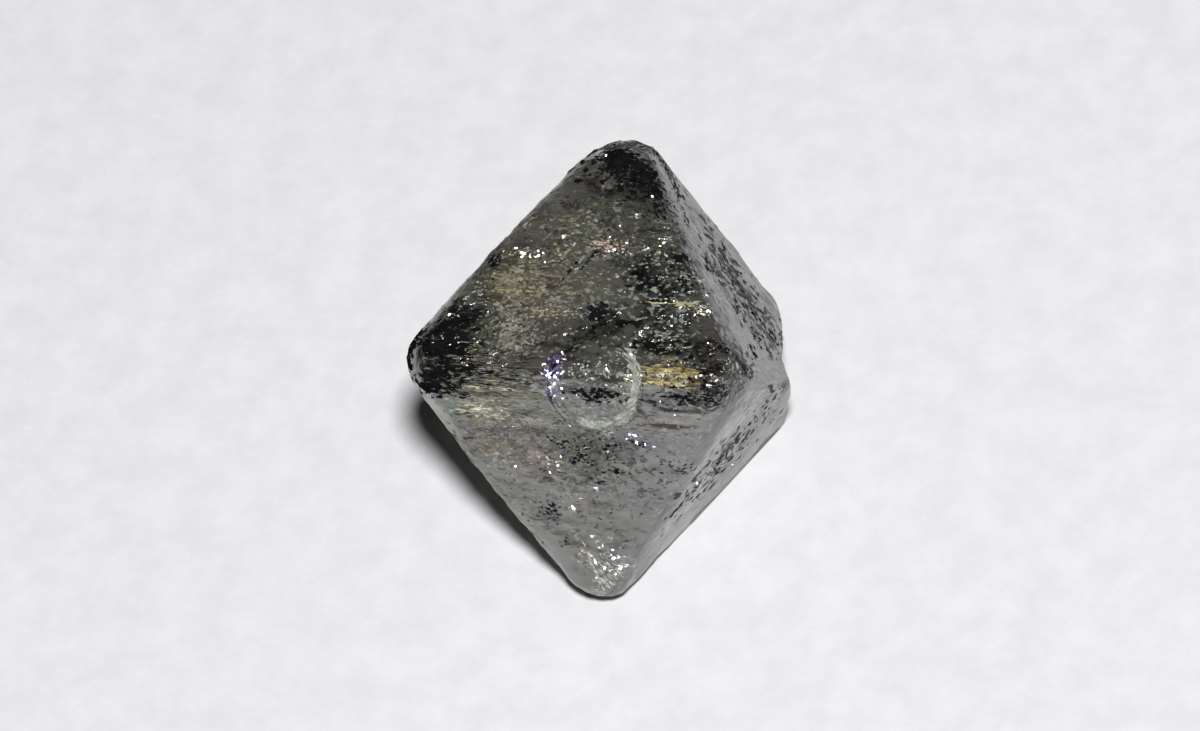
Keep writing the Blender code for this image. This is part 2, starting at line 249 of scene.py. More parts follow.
def rounded_reach(directions):
    """Reach to the rounded octahedron, cut short at the blunt tip, the break and its nick."""
    radius = fillet_radius(directions)
    inner = (FACE_HEIGHT - radius) * sqrt(3)
    lean, turn = radians(BREAK_LEAN), radians(BREAK_TURN)
    outward = np.array((sin(turn), cos(turn) * sin(lean), -cos(turn) * cos(lean)))
    tip = np.array((1, 0, TIP_LEAN)) / sqrt(1 + TIP_LEAN ** 2)
    facing = np.maximum(directions @ outward, LEAST_FACING)
    across = directions[:, 0] / facing * BREAK_HEIGHT - NICK_OFFSET
    break_height = BREAK_HEIGHT - NICK_DEPTH * np.clip(1 - np.abs(across) / NICK_WIDTH, 0, 1)
    low, high = (np.full(len(directions), end * SEMI_AXIS) for end in SEARCH_RANGE)
    for _ in range(SEARCH_ROUNDS):
        middle = (low + high) / 2
        points = directions * middle[:, None]
        over_octahedron = distance_to_octahedron(points, inner) - radius
        over_break = points @ outward - break_height
        along_tip = points @ tip
        around_tip = np.linalg.norm(points - np.outer(along_tip, tip), axis=1)
        drop = TIP_SLOPE * (np.hypot(around_tip, TIP_ROUND) - TIP_ROUND)
        over_tip = (along_tip + drop - TIP_HEIGHT) / sqrt(1 + TIP_SLOPE ** 2)
        over = np.logaddexp(BLEND * np.maximum(over_octahedron, over_tip), BLEND * over_break)
        high = np.where(over > 0, middle, high)
        low = np.where(over > 0, low, middle)
    return low


def lump_rise(points):
    """How much the lump raises each point of the surface."""
    turn, tilt = (radians(angle) for angle in LUMP_LEAN)
    axis = cos(tilt) * (cos(turn) * RIDGE + sin(turn) * RIDGE_RUN) + sin(tilt) * TO_TIP
    offset = points - LUMP_MIDDLE
    from_axis = np.linalg.norm(offset - np.outer(offset @ axis, axis), axis=1)
    rise = LUMP_RISE * smooth((LUMP_RADIUS - from_axis) / LUMP_RIM)
    rise += LUMP_CROWN * np.clip(1 - (from_axis / LUMP_RADIUS) ** 2, 0, 1)
    return np.where(points @ axis > 0, rise, 0)


def crystal_points(directions):
    """The surface point in each direction, in the crystal's own axes."""
    on_sphere = directions * FACE_HEIGHT
    wander = np.array([WANDER * noise_at(on_sphere, WANDER_SIZE, 11.0 + axis)
                       + FINE_WANDER * noise_at(on_sphere, FINE_WANDER_SIZE, 21.0 + axis)
                       for axis in range(3)]).T
    wander -= wander.mean(axis=1)[:, None]
    reach = np.minimum(faces_reach(directions, wander), rounded_reach(directions))
    reach += lump_rise(directions * reach[:, None])
    return directions * reach[:, None]


# ---- The solid ----

def grid_over_octahedron(cells):
    """Unit directions and triangles of a triangular grid over the octahedron's eight faces."""
    index, corners, triangles = {}, [], []

    def vertex(signs, *steps):
        key = tuple(sign * step for sign, step in zip(signs, steps))
        if key not in index:
            index[key] = len(corners)
            corners.append(key)
        return index[key]

    for signs in LEDGES:
        turned = signs[0] * signs[1] * signs[2] > 0
        for i in range(cells):
            for j in range(cells - i):
                k = cells - i - j
                here = vertex(signs, i, j, k)
                over = vertex(signs, i + 1, j, k - 1)
                beside = vertex(signs, i, j + 1, k - 1)
                triangles.append((here, beside, over) if turned else (here, over, beside))
                if k > 1:
                    far = vertex(signs, i + 1, j + 1, k - 2)
                    triangles.append((over, beside, far) if turned else (over, far, beside))
    directions = np.array(corners, dtype=float)
    return directions / np.linalg.norm(directions, axis=1)[:, None], triangles


# ---- Fine relief, which the solid leaves out ----

LINE_SPACING = (0.075, 0.160)          # growth lines: spacings that are laid over each other
LINE_DEPTH = (0.0045, 0.0070)
LINE_REACH = {"edge": 0.42, "ridge": 0.62}    # how far from an edge the lines fade out
LINE_WANDER = 0.010
LINE_WANDER_SIZE = 0.9
LINE_CLOUD = (0.55, 0.45, 0.7)         # their strength's mean and swing, and its clouds' size
TREAD = 0.65                           # the level share of a step
TREAD_SCATTER = (12.9898, 43758.5453)  # gives every tread a level of its own
LINE_START = 37                        # steps by which the axes' profiles differ
SWELL_SIZE = 0.55
SWELL_DEPTH = 0.010
RIPPLE_SIZE = 0.16
RIPPLE_DEPTH = 0.0030
SMALL_TRIGONS = 46                     # on each face
SMALL_TRIGON_SIDE = (0.07, 0.17)
SMALL_TRIGON_DEPTH = 0.20              # over a third of its side
SMALL_TRIGON_SLOPE = 1.6
SMALL_TRIGON_EVEN = (1.3, 1.3, 1.3)    # how evenly they spread over a face
SMALL_TRIGON_MARGIN = 0.02             # how far past a face's edges they may reach


def terraces(steps):
    """A stepped profile from 0 to 1: treads at uneven levels with short risers."""
    tread = np.floor(steps)
    level, following = (np.modf(np.abs(np.sin(each * TREAD_SCATTER[0]) * TREAD_SCATTER[1]))[0]
                        for each in (tread, tread + 1))
    return level + (following - level) * smooth((steps - tread - TREAD) / (1 - TREAD))


def growth_lines(points, directions):
    """Depth of the fine steps that run parallel to the edges."""
    total = np.abs(directions).sum(axis=1)
    wander = LINE_WANDER * noise_at(points, LINE_WANDER_SIZE, 5.0)
    mean, swing, cloud_size = LINE_CLOUD
    depth = np.zeros(len(points))
    for axis in range(3):
        distance = FACE_SPAN * directions[:, axis] / total
        on_ridge = (axis == 0) & (directions[:, 1] > 0) & (directions[:, 2] > 0)
        reach = np.where(on_ridge, LINE_REACH["ridge"], LINE_REACH["edge"])
        strength = np.exp(-(distance / reach) ** 2)
        strength = strength * (mean + swing * noise_at(points, cloud_size, 9.0 + axis))
        for spacing, line_depth in zip(LINE_SPACING, LINE_DEPTH):
            steps = (distance + wander) / spacing + LINE_START * axis
            depth += line_depth * strength * terraces(steps)
    return depth


def small_trigons(directions):
    """Depth of the small etch pits scattered over each face."""
    random = np.random.default_rng(7)
    depth = np.zeros(len(directions))
    for signs in LEDGES:
        toward = directions * signs
        total = toward.sum(axis=1)
        near = np.flatnonzero(toward.min(axis=1) > -SMALL_TRIGON_MARGIN * total)
        distances = FACE_SPAN * toward[near] / total[near, None]
        for _ in range(SMALL_TRIGONS):
            share = random.dirichlet(SMALL_TRIGON_EVEN)
            side = random.uniform(*SMALL_TRIGON_SIDE)
            radius = side / (2 * sqrt(3))
            into = (radius - (distances - share * FACE_SPAN).max(axis=1)) / radius
            depth[near] += SMALL_TRIGON_DEPTH * side * np.clip(into * SMALL_TRIGON_SLOPE, 0, 1) / 3
    return depth


def zone(signs, x, y, spread, rough, flecks, fleck_size, cracks, row=1.0):
    """An etched and cracked place: its face and middle, its spread along and, times row, across
    the growth lines, its roughness, and how many flecks and cracks it holds."""
    return signs, x, y, (spread, spread * row), rough, flecks, fleck_size, cracks


def zones_by_face(*groups):
    """Zones from rows of their values, grouped by face."""
    return [zone(*row) for row in by_face(*groups)]


ZONES = zones_by_face(
    (UPPER, (2.62, 0.78, 0.13, 0.6, 34, 1.8, 2), (2.4, 0.95, 0.22, 0.5, 40, 0.9, 4),
     (2.9, 0.3, 0.1, 0.4, 14, 1.2, 2), (2.36, 0.46, 0.16, 0.3, 14, 0.8, 0),
     (0.26, 0.34, 0.17, 0.9, 30, 1.6, 5), (0.62, 0.3, 0.14, 0.7, 16, 1.4, 3),
     (1.5, 0.34, 0.1, 0.8, 4, 1.0, 34, 0.2), (1.36, 0.12, 0.06, 0.6, 10, 1.4, 4),
     (1.48, 0.66, 0.16, 0.9, 12, 0.9, 10), (1.64, 1.12, 0.13, 0.9, 6, 0.9, 46, 0.3),
     (1.37, 1.5, 0.2, 1.0, 36, 1.1, 5), (1.73, 1.6, 0.14, 0.9, 24, 1.0, 7),
     (1.05, 2.05, 0.22, 0.9, 46, 1.2, 5), (0.69, 1.63, 0.2, 1.0, 40, 1.1, 5),
     (0.49, 2.35, 0.18, 0.8, 40, 1.3, 4), (0.9, 2.52, 0.06, 0.5, 4, 1.0, 24, 0.4),
     (0.36, 2.78, 0.1, 0.5, 24, 1.4, 3), (1.95, 0.95, 0.26, 0.2, 20, 0.8, 2)),
    (LOWER, (0.26, 1.94, 0.15, 0.9, 40, 1.4, 12), (1.1, 1.3, 0.26, 0.6, 60, 0.9, 8),
     (1.98, 0.43, 0.06, 0.4, 14, 1.2, 1), (1.73, 1.07, 0.24, 0.4, 30, 0.8, 4),
     (0.34, 2.6, 0.12, 0.5, 26, 1.3, 5), (0.3, 0.3, 0.12, 0.5, 18, 1.3, 3),
     (1.3, 0.8, 0.14, 0.5, 4, 1.0, 22, 0.5), (2.66, 0.56, 0.16, 1.0, 6, 0.9, 70)),
    (RIGHT_UPPER, (1.6, 0.45, 0.13, 0.5, 14, 0.9, 1), (0.8, 1.6, 0.26, 0.4, 30, 1.1, 1),
     (0.32, 2.25, 0.16, 0.4, 18, 1.1, 1)),
    (RIGHT_LOWER, (1.02, 1.1, 0.26, 0.4, 30, 0.9, 4), (1.69, 1.23, 0.2, 0.4, 10, 0.9, 3)),
    (BACK_UPPER, (1.6, 0.9, 0.3, 0.7, 60, 1.2, 20), (0.8, 1.5, 0.26, 0.6, 50, 1.2, 16)),
    (BACK_LOWER, (1.5, 1.0, 0.3, 0.7, 60, 1.2, 20), (0.7, 1.7, 0.24, 0.5, 40, 1.2, 12)),
    (BACK_RIGHT, (1.7, 0.8, 0.3, 0.7, 60, 1.2, 20), (0.9, 1.3, 0.26, 0.5, 50, 1.2, 16)),
    (RESTING, (1.2, 1.1, 0.3, 0.0, 40, 1.1, 5)))
VIOLET_ZONES = zones_by_face(
    (LOWER, (0.06, 1.56, 0.06, 0.3, 0, 1.0, 40), (0.28, 1.5, 0.07, 0.3, 0, 1.0, 40)),
    (UPPER, (0.12, 1.6, 0.06, 0.3, 0, 1.0, 24)), (LOWER, (0.89, 1.95, 0.07, 0.6, 0, 1.0, 24, 0.4)))
ROUGH_SIZES = (0.24, 0.12, 0.065)
ROUGH_DEPTHS = (0.030, 0.024, 0.014)
ROUGH_EVERYWHERE = 0.45
ZONE_ROUGHNESS = 0.6                   # share of the zones' roughness that is carved
ZONE_REACH = 1.5                       # of their roughness, over their spread
CALM = 0.6                             # how much less rough and etched the upper face is
CALM_FROM = 0.81                       # cosine from that face's normal at which the calm begins
CALM_RIM = 0.08
RESTING_SLACK = 0.03                   # this near the resting face's level, it stays flat
MARK_STRETCH = 1.9                     # how far etch marks are drawn out along the growth lines


def on_face(signs, x, y):
    """The point of the sharp octahedron's face at these distances from the x and y edges."""
    return np.array(signs) * np.array((x, y, FACE_SPAN - x - y)) / FACE_SPAN * SEMI_AXIS


def along_growth(points):
    """The direction in which growth lines run on the face at each point."""
    signs = np.where(points < 0, -1, 1)
    none = np.zeros(len(points))
    along = np.where(signs[:, 2:] > 0, np.stack((none, signs[:, 1], -signs[:, 2]), axis=1),
                     np.stack((signs[:, 0], none, -signs[:, 2]), axis=1))
    return along / sqrt(2)


def squeezed(points, stretch):
    """The points squeezed along the growth lines, so that noise over them comes out stretched."""
    along = along_growth(points)
    travel = (points * along).sum(axis=1)
    return points - along * (travel * (1 - 1 / stretch))[:, None]


def calmed(points):
    """How much of the roughness is left at each point: less inside the upper face."""
    facing = unit(points).sum(axis=1) / sqrt(3)
    return 1 - CALM * smooth((facing - CALM_FROM) / CALM_RIM)


def rough_relief(points):
    """Depth of the etched, uneven surface, most of all in the zones."""
    strength = ROUGH_EVERYWHERE * calmed(points)
    points_drawn_out = squeezed(points, MARK_STRETCH)
    for signs, x, y, spread, roughness, *_ in ZONES + VIOLET_ZONES:
        away = np.linalg.norm(points - on_face(signs, x, y), axis=1)
        rough = ZONE_ROUGHNESS * roughness * np.exp(-(away / (ZONE_REACH * max(spread))) ** 2)
        strength = np.maximum(strength, rough)
    depth = np.zeros(len(points))
    for size, rough_depth in zip(ROUGH_SIZES, ROUGH_DEPTHS):
        depth += rough_depth * (0.5 + noise_at(points_drawn_out, size, 40 * size))
    return strength * np.maximum(depth, 0)


def fine_relief(points, directions):
    """Depth of all the fine relief at each point."""
    swell = SWELL_DEPTH * (0.5 + 0.5 * noise_at(points, SWELL_SIZE, 1.0))
    ripple = RIPPLE_DEPTH * (0.5 + 0.5 * noise_at(points, RIPPLE_SIZE, 3.0))
    relief = swell + ripple + rough_relief(points)
    return relief + growth_lines(points, directions) + small_trigons(directions)


def fine_points(directions):
    """The finished surface's point in each direction, with all its relief."""
    points = crystal_points(directions)
    resting = -points.sum(axis=1) / sqrt(3) > FACE_HEIGHT - RESTING_SLACK
    return points - directions * np.where(resting, 0, fine_relief(points, directions))[:, None]


# ---- The crystal ----

FINE_GRID = 150                        # cells along each edge of the octahedron
SMOOTH_ANGLE = 30                      # creases sharper than this many degrees stay sharp


def to_part(points):
    """Places points in the crystal's own axes and millimetres in the part's frame, in metres."""
    placed = np.asarray(points) @ TO_PART
    placed[:, 2] += FACE_HEIGHT
    return placed * METRES


def inside_box(placed):
    """The placed points, held inside the solid's box."""
    return np.clip(placed, cad_box[0], cad_box[1])


def new_object(name, points, faces, material):
    """A mesh object, linked to the scene, with one material."""
    mesh = bpy.data.meshes.new(name)
    mesh.from_pydata(points.tolist(), [], faces)
    mesh.materials.append(material)
    made = bpy.data.objects.new(name, mesh)
    bpy.context.scene.collection.objects.link(made)
    return made


def add_colour_attribute(mesh, name, colours):
    """A colour for each point of the mesh, with its alpha."""
    mesh.color_attributes.new(name, "FLOAT_COLOR", "POINT").data.foreach_set("color", colours.ravel())


BLACK_TINT_AND_SHADE = (0.03, 0.03, 0.04)
SMOKE = (0.16, 0.15, 0.16)
ASH = (0.38, 0.38, 0.36)
PALE = (0.95, 0.96, 0.92)
STRAW = (1.00, 0.92, 0.60)
GOLD = (1.00, 0.76, 0.32)
ROSE = (1.00, 0.86, 0.80)
TEAL = (0.50, 0.86, 0.76)
LICHEN = (0.72, 0.80, 0.62)

# Stained and darkened places: face, middle, radius, tone, and how ragged the rim is. The black and
# smoke tints at the tip and left corners are painted shade, and the green tint over the whole right
# upper face is a painted reflection.
TINTS = by_face(
    # Painted reflection: the green lichen tint over the whole right upper face.
    (RIGHT_UPPER, (1.2, 1.2, 1.3, LICHEN, 0.2)), (RIGHT_LOWER, (1.2, 1.2, 1.3, PALE, 0.2)),
    (UPPER, (1.95, 0.8, 0.34, LICHEN, 0.6), (0.95, 0.95, 0.3, ROSE, 0.7), (1.15, 0.45, 0.3, STRAW, 0.5),
     (0.48, 0.62, 0.2, LICHEN, 0.4)),
    (LOWER, (0.63, 0.31, 0.12, TEAL, 0.3), (0.62, 0.62, 0.2, STRAW, 0.5)),
    (UPPER, (0.02, 2.86, 0.2, GOLD, 0.5)), (LOWER, (1.2, 0.75, 0.35, ROSE, 0.6)),
    # Painted shade: the black tints at 2.62 and 2.8 and the smoke tint at 2.36 darken the tip corner, the
    # black tints at 0.2 and 0.62 the left corner.
    (UPPER, (1.75, 1.05, 0.2, ROSE, 0.5), (2.62, 0.8, 0.27, BLACK_TINT_AND_SHADE, 0.8), (2.8, 0.42, 0.16, BLACK_TINT_AND_SHADE, 0.8),
     (2.36, 0.48, 0.14, SMOKE, 0.9), (0.2, 0.4, 0.34, BLACK_TINT_AND_SHADE, 0.6), (0.62, 0.36, 0.2, BLACK_TINT_AND_SHADE, 0.6)),
    # Painted shade: this black tint darkens the left corner.
    (LOWER, (0.14, 0.46, 0.24, BLACK_TINT_AND_SHADE, 0.6)),
    (UPPER, (1.38, 0.14, 0.08, BLACK_TINT_AND_SHADE, 0.6), (1.36, 1.58, 0.16, SMOKE, 1.0),
     (1.5, 1.95, 0.16, SMOKE, 1.0), (1.1, 1.95, 0.2, SMOKE, 1.0), (0.5, 2.3, 0.24, SMOKE, 1.0),
     (0.38, 2.8, 0.14, SMOKE, 1.0), (0.72, 1.66, 0.16, SMOKE, 1.0)),
    (LOWER, (0.3, 2.7, 0.2, SMOKE, 0.7), (0.34, 2.36, 0.18, SMOKE, 0.7), (0.28, 1.9, 0.17, BLACK_TINT_AND_SHADE, 0.9),
     (1.98, 0.43, 0.1, SMOKE, 0.9), (0.92, 1.78, 0.14, SMOKE, 0.9), (1.4, 0.7, 0.12, ASH, 0.9)),
    (RIGHT_LOWER, (1.3, 1.7, 0.12, ASH, 1.0), (1.7, 1.2, 0.12, ASH, 1.0)),
    (RIGHT_UPPER, (0.7, 1.6, 0.2, ASH, 1.0), (1.5, 0.5, 0.12, ASH, 1.0)),
    (BACK_UPPER, (1.2, 1.2, 0.5, ASH, 1.0)), (BACK_LOWER, (1.3, 1.1, 0.5, ASH, 1.0)),
    (BACK_RIGHT, (1.2, 1.3, 0.5, ASH, 1.0)))
BASE_TINT = (0.80, 0.78, 0.68)
TINT_RIM = 0.45                        # softness of a stain's rim, over its radius
TINT_RAG_SIZE = 0.13
TINT_RAG_FINER = 2.6                   # its finer part: how many times finer, and how strong
TINT_RAG_FINE = 0.6
LINE_STRETCH = 14.0                    # how far growth lines are drawn out
LINED_SIZE = 0.40
LINED_MEAN = 0.55
LINED_GAIN = 1.3
LINED_RIDGE = 0.42                     # how far from the ridge growth lines show
LINED_RIDGE_END = (2.2, 0.8)           # where along it they end, and over what length
LINED_NARROW = (0.75, 0.8)             # on the right faces: how strongly, and how far they reach
LINED_EDGE = (0.6, 0.20)               # the same along the other edges
ETCH_SIZE = 0.45
ETCH_CLOUD = (0.5, 0.9)                # mean and swing
ETCH_BASE = 0.80                       # outside the etched places
ETCH_REACH = 1.6                       # over a zone's spread


def surface_tints(points):
    """Colour of the surface at each point, with painted shade at the tip and left corners and a painted
    reflection on the right upper face.
    """
    drawn_out = squeezed(points, MARK_STRETCH)
    fine_rag = noise_at(drawn_out, TINT_RAG_SIZE / TINT_RAG_FINER, 33.0)
    rag = noise_at(drawn_out, TINT_RAG_SIZE, 31.0) + TINT_RAG_FINE * fine_rag
    colours = np.tile(BASE_TINT, (len(points), 1))
    for signs, x, y, radius, colour, ragged in TINTS:
        away = np.linalg.norm(points - on_face(signs, x, y), axis=1) / radius + ragged * rag
        share = smooth((1 + TINT_RIM / 2 - away) / TINT_RIM)[:, None]
        colours = colours * (1 - share) + np.array(colour) * share
    return colours


def etching(points):
    """How etched the surface is at each point, from 0 to 1."""
    cloud = ETCH_CLOUD[0] + ETCH_CLOUD[1] * noise_at(points, ETCH_SIZE, 41.0)
    etched = ETCH_BASE * np.clip(cloud, 0, 1)
    for signs, x, y, spread, roughness, *_ in ZONES + VIOLET_ZONES:
        away = np.linalg.norm(points - on_face(signs, x, y), axis=1) / (ETCH_REACH * max(spread))
        etched = np.maximum(etched, roughness * np.exp(-away ** 2))
    return np.clip(etched, 0, 1)


def lining(points, directions):
    """How strongly growth lines mark each point, from 0 to 1."""
    total = np.abs(directions).sum(axis=1)
    distance = FACE_SPAN * np.abs(directions) / total[:, None]
    cloud = np.clip(LINED_MEAN + noise_at(points, LINED_SIZE, 51.0), 0, 1)
    on_ridge = (directions[:, 1] > 0) & (directions[:, 2] > 0)
    ridge = np.where(on_ridge, np.exp(-(distance[:, 0] / LINED_RIDGE) ** 2), 0)
    ridge *= smooth((LINED_RIDGE_END[0] - distance[:, 1]) / LINED_RIDGE_END[1])
    narrow = np.where(directions[:, 2] < 0, LINED_NARROW[0], 0)
    narrow = narrow * np.exp(-(distance[:, 1] / LINED_NARROW[1]) ** 2)
    edge = LINED_EDGE[0] * np.exp(-(distance[:, 2] / LINED_EDGE[1]) ** 2)
    return np.clip(np.maximum(np.maximum(ridge, narrow), edge) * cloud * LINED_GAIN, 0, 1)


def make_crystal(material):
    """The crystal's fine surface, kept inside the solid's box."""
    directions, triangles = grid_over_octahedron(FINE_GRID)
    points = fine_points(directions)
    placed = inside_box(to_part(points))
    crystal = new_object("clear_crystal", placed, triangles, material)
    tints = np.ones((len(points), 4))
    tints[:, :3] = surface_tints(points)
    tints[:, 3] = etching(points)
    mesh = crystal.data
    for name, stretch in (("lay", MARK_STRETCH), ("line_lay", LINE_STRETCH)):
        lay = mesh.attributes.new(name, "FLOAT_VECTOR", "POINT")
        lay.data.foreach_set("vector", squeezed(points, stretch).ravel())
    for name, values in (("lined", lining(points, directions)), ("pitted", tints[:, 3] * calmed(points))):
        mesh.attributes.new(name, "FLOAT", "POINT").data.foreach_set("value", values)
    add_colour_attribute(mesh, "tint", tints)
    mesh.shade_smooth()
    mesh.set_sharp_from_angle(angle=radians(SMOOTH_ANGLE))
    return crystal


# ---- Inclusions ----

FLECK_SIZE = (0.012, 0.042)            # radius
FLECK_SIZES = (0.5, 1.2)               # times that
FLECK_STRETCH = (0.45, 1.5)            # along each of its axes
FLECK_RIM = (0.7, 1.3)                 # how uneven it is, over its radius
FLECK_DEPTH = (0.02, 0.16)             # below the surface
CRACK_SIZE = (0.018, 0.055)
CRACK_DEPTH = (0.02, 0.12)
CRACK_TILT = 0.06                      # spread of the cracks' tilt, in radians
CRACK_THICKNESS = 0.08                 # over the radius
COVER = 0.03                           # least depth of an inclusion's rim
LENS_SIDES = 8
LENS_RIM = (0.55, 1.15)                # a lens's uneven rim, over its radius
FILM_DEPTH = (0.02, 0.10)
FILM_SIZES = (0.5, 1.3)                # over a row's size
FILM_SIDES = 10
NORMAL_STEP = 0.012                    # over which the surface's normal is measured
ACROSS = (0.31, 0.52, 0.79)            # a direction that no face or edge shares


def scattered(random, signs, x, y, lengthways, spread, count):
    """Directions from the centre, scattered about a place on a face, lengthways and across."""
    sideways = np.cross(np.array(signs) / sqrt(3), lengthways)
    offset = random.normal(0, spread, (count, 2))
    return unit(on_face(signs, x, y) + offset[:, :1] * lengthways + offset[:, 1:] * sideways)


def zone_directions(random, signs, x, y, spread, count):
    """Directions from the centre, scattered about a zone's middle on its face."""
    along = np.array((0, signs[1], -signs[2])) / sqrt(2)
    return scattered(random, signs, x, y, along, spread, count)


def surface_at(directions, surface=crystal_points):
    """The surface's points and outward normals in the given directions."""
    across = np.cross(directions, ACROSS)
    across /= np.linalg.norm(across, axis=1)[:, None]
    along = np.cross(directions, across)
    sides = [surface(unit(directions + step)) for step in
             (NORMAL_STEP * across, -NORMAL_STEP * across, NORMAL_STEP * along, -NORMAL_STEP * along)]
    normals = unit(np.cross(sides[0] - sides[1], sides[2] - sides[3]))
    normals *= np.sign((normals * directions).sum(axis=1))[:, None]
    return surface(directions), normals


def unit(vectors):
    """The vectors at length one."""
    return vectors / np.linalg.norm(vectors, axis=-1)[..., None]


def facing_light(face_normal):
    """The normal, inside the crystal, of a crack that sends the flash back out through a surface."""
    total = np.zeros(3)
    for outside in (TO_PART @ np.array(camera_axes()[2]), TO_PART @ np.array(flash_direction())):
        straight = outside @ face_normal
        if straight <= 0:
            return face_normal
        sideways = (outside - straight * face_normal) / DIAMOND_IOR
        total += sideways + face_normal * sqrt(1 - sideways @ sideways)
    return unit(total)


def sunk(point, depth):
    """The point moved this deep below the surface, towards the centre."""
    return point * (1 - depth / np.linalg.norm(point))


def lens(middle, normal, radius, random, sides=LENS_SIDES, stretch=1.0, along=None,
         thickness=None, rim=LENS_RIM):
    """A thin closed lens with an uneven rim: its points and triangles."""
    normal = normal / np.linalg.norm(normal)
    if along is None:
        along = random.normal(size=3)
    along = along - normal * (along @ normal)
    along = along / np.linalg.norm(along)
    across = np.cross(normal, along)
    turn = np.arange(sides) / sides * 2 * np.pi
    reach = radius * random.uniform(*rim, sides)
    edge = middle + np.outer(reach * np.cos(turn) * stretch, along)
    edge = edge + np.outer(reach * np.sin(turn), across)
    thick = normal * (radius * CRACK_THICKNESS if thickness is None else thickness)
    points = np.vstack((edge, middle + thick, middle - thick))
    ring = [(k, (k + 1) % sides) for k in range(sides)]
    return points, [(a, b, sides) for a, b in ring] + [(b, a, sides + 1) for a, b in ring]


def crumb(middle, radius, random):
    """A small uneven closed crumb: its points and triangles."""
    corners = np.array([(1, 0, 0), (-1, 0, 0), (0, 1, 0), (0, -1, 0), (0, 0, 1), (0, 0, -1)], float)
    stretch = random.uniform(*FLECK_STRETCH, 3)
    turned, _ = np.linalg.qr(random.normal(size=(3, 3)))
    if np.linalg.det(turned) < 0:
        turned = -turned
    reach = random.uniform(*FLECK_RIM, (6, 1))
    points = middle + radius * (corners * reach * stretch) @ turned
    triangles = [(a, b, c) if (corners[a] @ np.cross(corners[b], corners[c])) > 0 else (a, c, b)
                 for a in (0, 1) for b in (2, 3) for c in (4, 5)]
    return points, triangles


def joined(name, shapes, material):
    """Many small shapes as one object, held inside the solid's box."""
    points, triangles, start = [], [], 0
    for shape_points, shape_triangles in shapes:
        points.append(shape_points)
        triangles += [tuple(index + start for index in triangle) for triangle in shape_triangles]
        start += len(shape_points)
    return new_object(name, inside_box(to_part(np.vstack(points))), triangles, material)


def make_flecks(material):
    """Dark mineral flecks below the surface."""
    random = np.random.default_rng(11)
    shapes = []
    for signs, x, y, spread, _, flecks, fleck_size, _ in ZONES:
        surface = crystal_points(zone_directions(random, signs, x, y, spread, flecks))
        for point in surface:
            radius = random.uniform(*FLECK_SIZE) * random.uniform(*FLECK_SIZES) * fleck_size
            depth = COVER + radius + random.uniform(*FLECK_DEPTH)
            shapes.append(crumb(sunk(point, depth), radius, random))
    return joined("dark_flecks", shapes, material)


def make_cracks(name, zones, seed, material):
    """Tiny open cracks just below the faces, which flash where they face the light."""
    random = np.random.default_rng(seed)
    shapes = []
    for signs, x, y, spread, *_, cracks in zones:
        if not cracks:
            continue
        surface, normals = surface_at(zone_directions(random, signs, x, y, spread, cracks))
        for point, surface_normal in zip(surface, normals):
            radius = random.uniform(*CRACK_SIZE)
            depth = COVER + random.uniform(*CRACK_DEPTH)
            normal = facing_light(surface_normal) + random.normal(0, CRACK_TILT, 3)
            shapes.append(lens(sunk(point, depth), normal, radius, random))
    return joined(name, shapes, material)


# ---- Marks in the surface ----

INK = (0.010, 0.010, 0.011)
CHAR = (0.045, 0.042, 0.042)
DUSK = (0.125, 0.125, 0.118)
SLATE = (0.175, 0.175, 0.170)
UMBER = (0.110, 0.062, 0.056)
OLIVE = (0.200, 0.200, 0.140)
MAUVE = (0.200, 0.180, 0.200)
KHAKI = (0.210, 0.195, 0.145)
SAND = (0.330, 0.305, 0.230)
MOSS = (0.250, 0.270, 0.230)
STONE = (0.300, 0.310, 0.290)
MIST = (0.530, 0.555, 0.500)
LAVENDER = (0.350, 0.330, 0.390)
IRIS = (0.210, 0.160, 0.460)
SAGE = (0.370, 0.410, 0.340)
PEARL = (0.560, 0.580, 0.530)
WHEAT = (0.62, 0.57, 0.32)
CREAM = (0.760, 0.720, 0.540)
AMBER = (0.50, 0.41, 0.17)
BLUSH = (0.560, 0.420, 0.370)
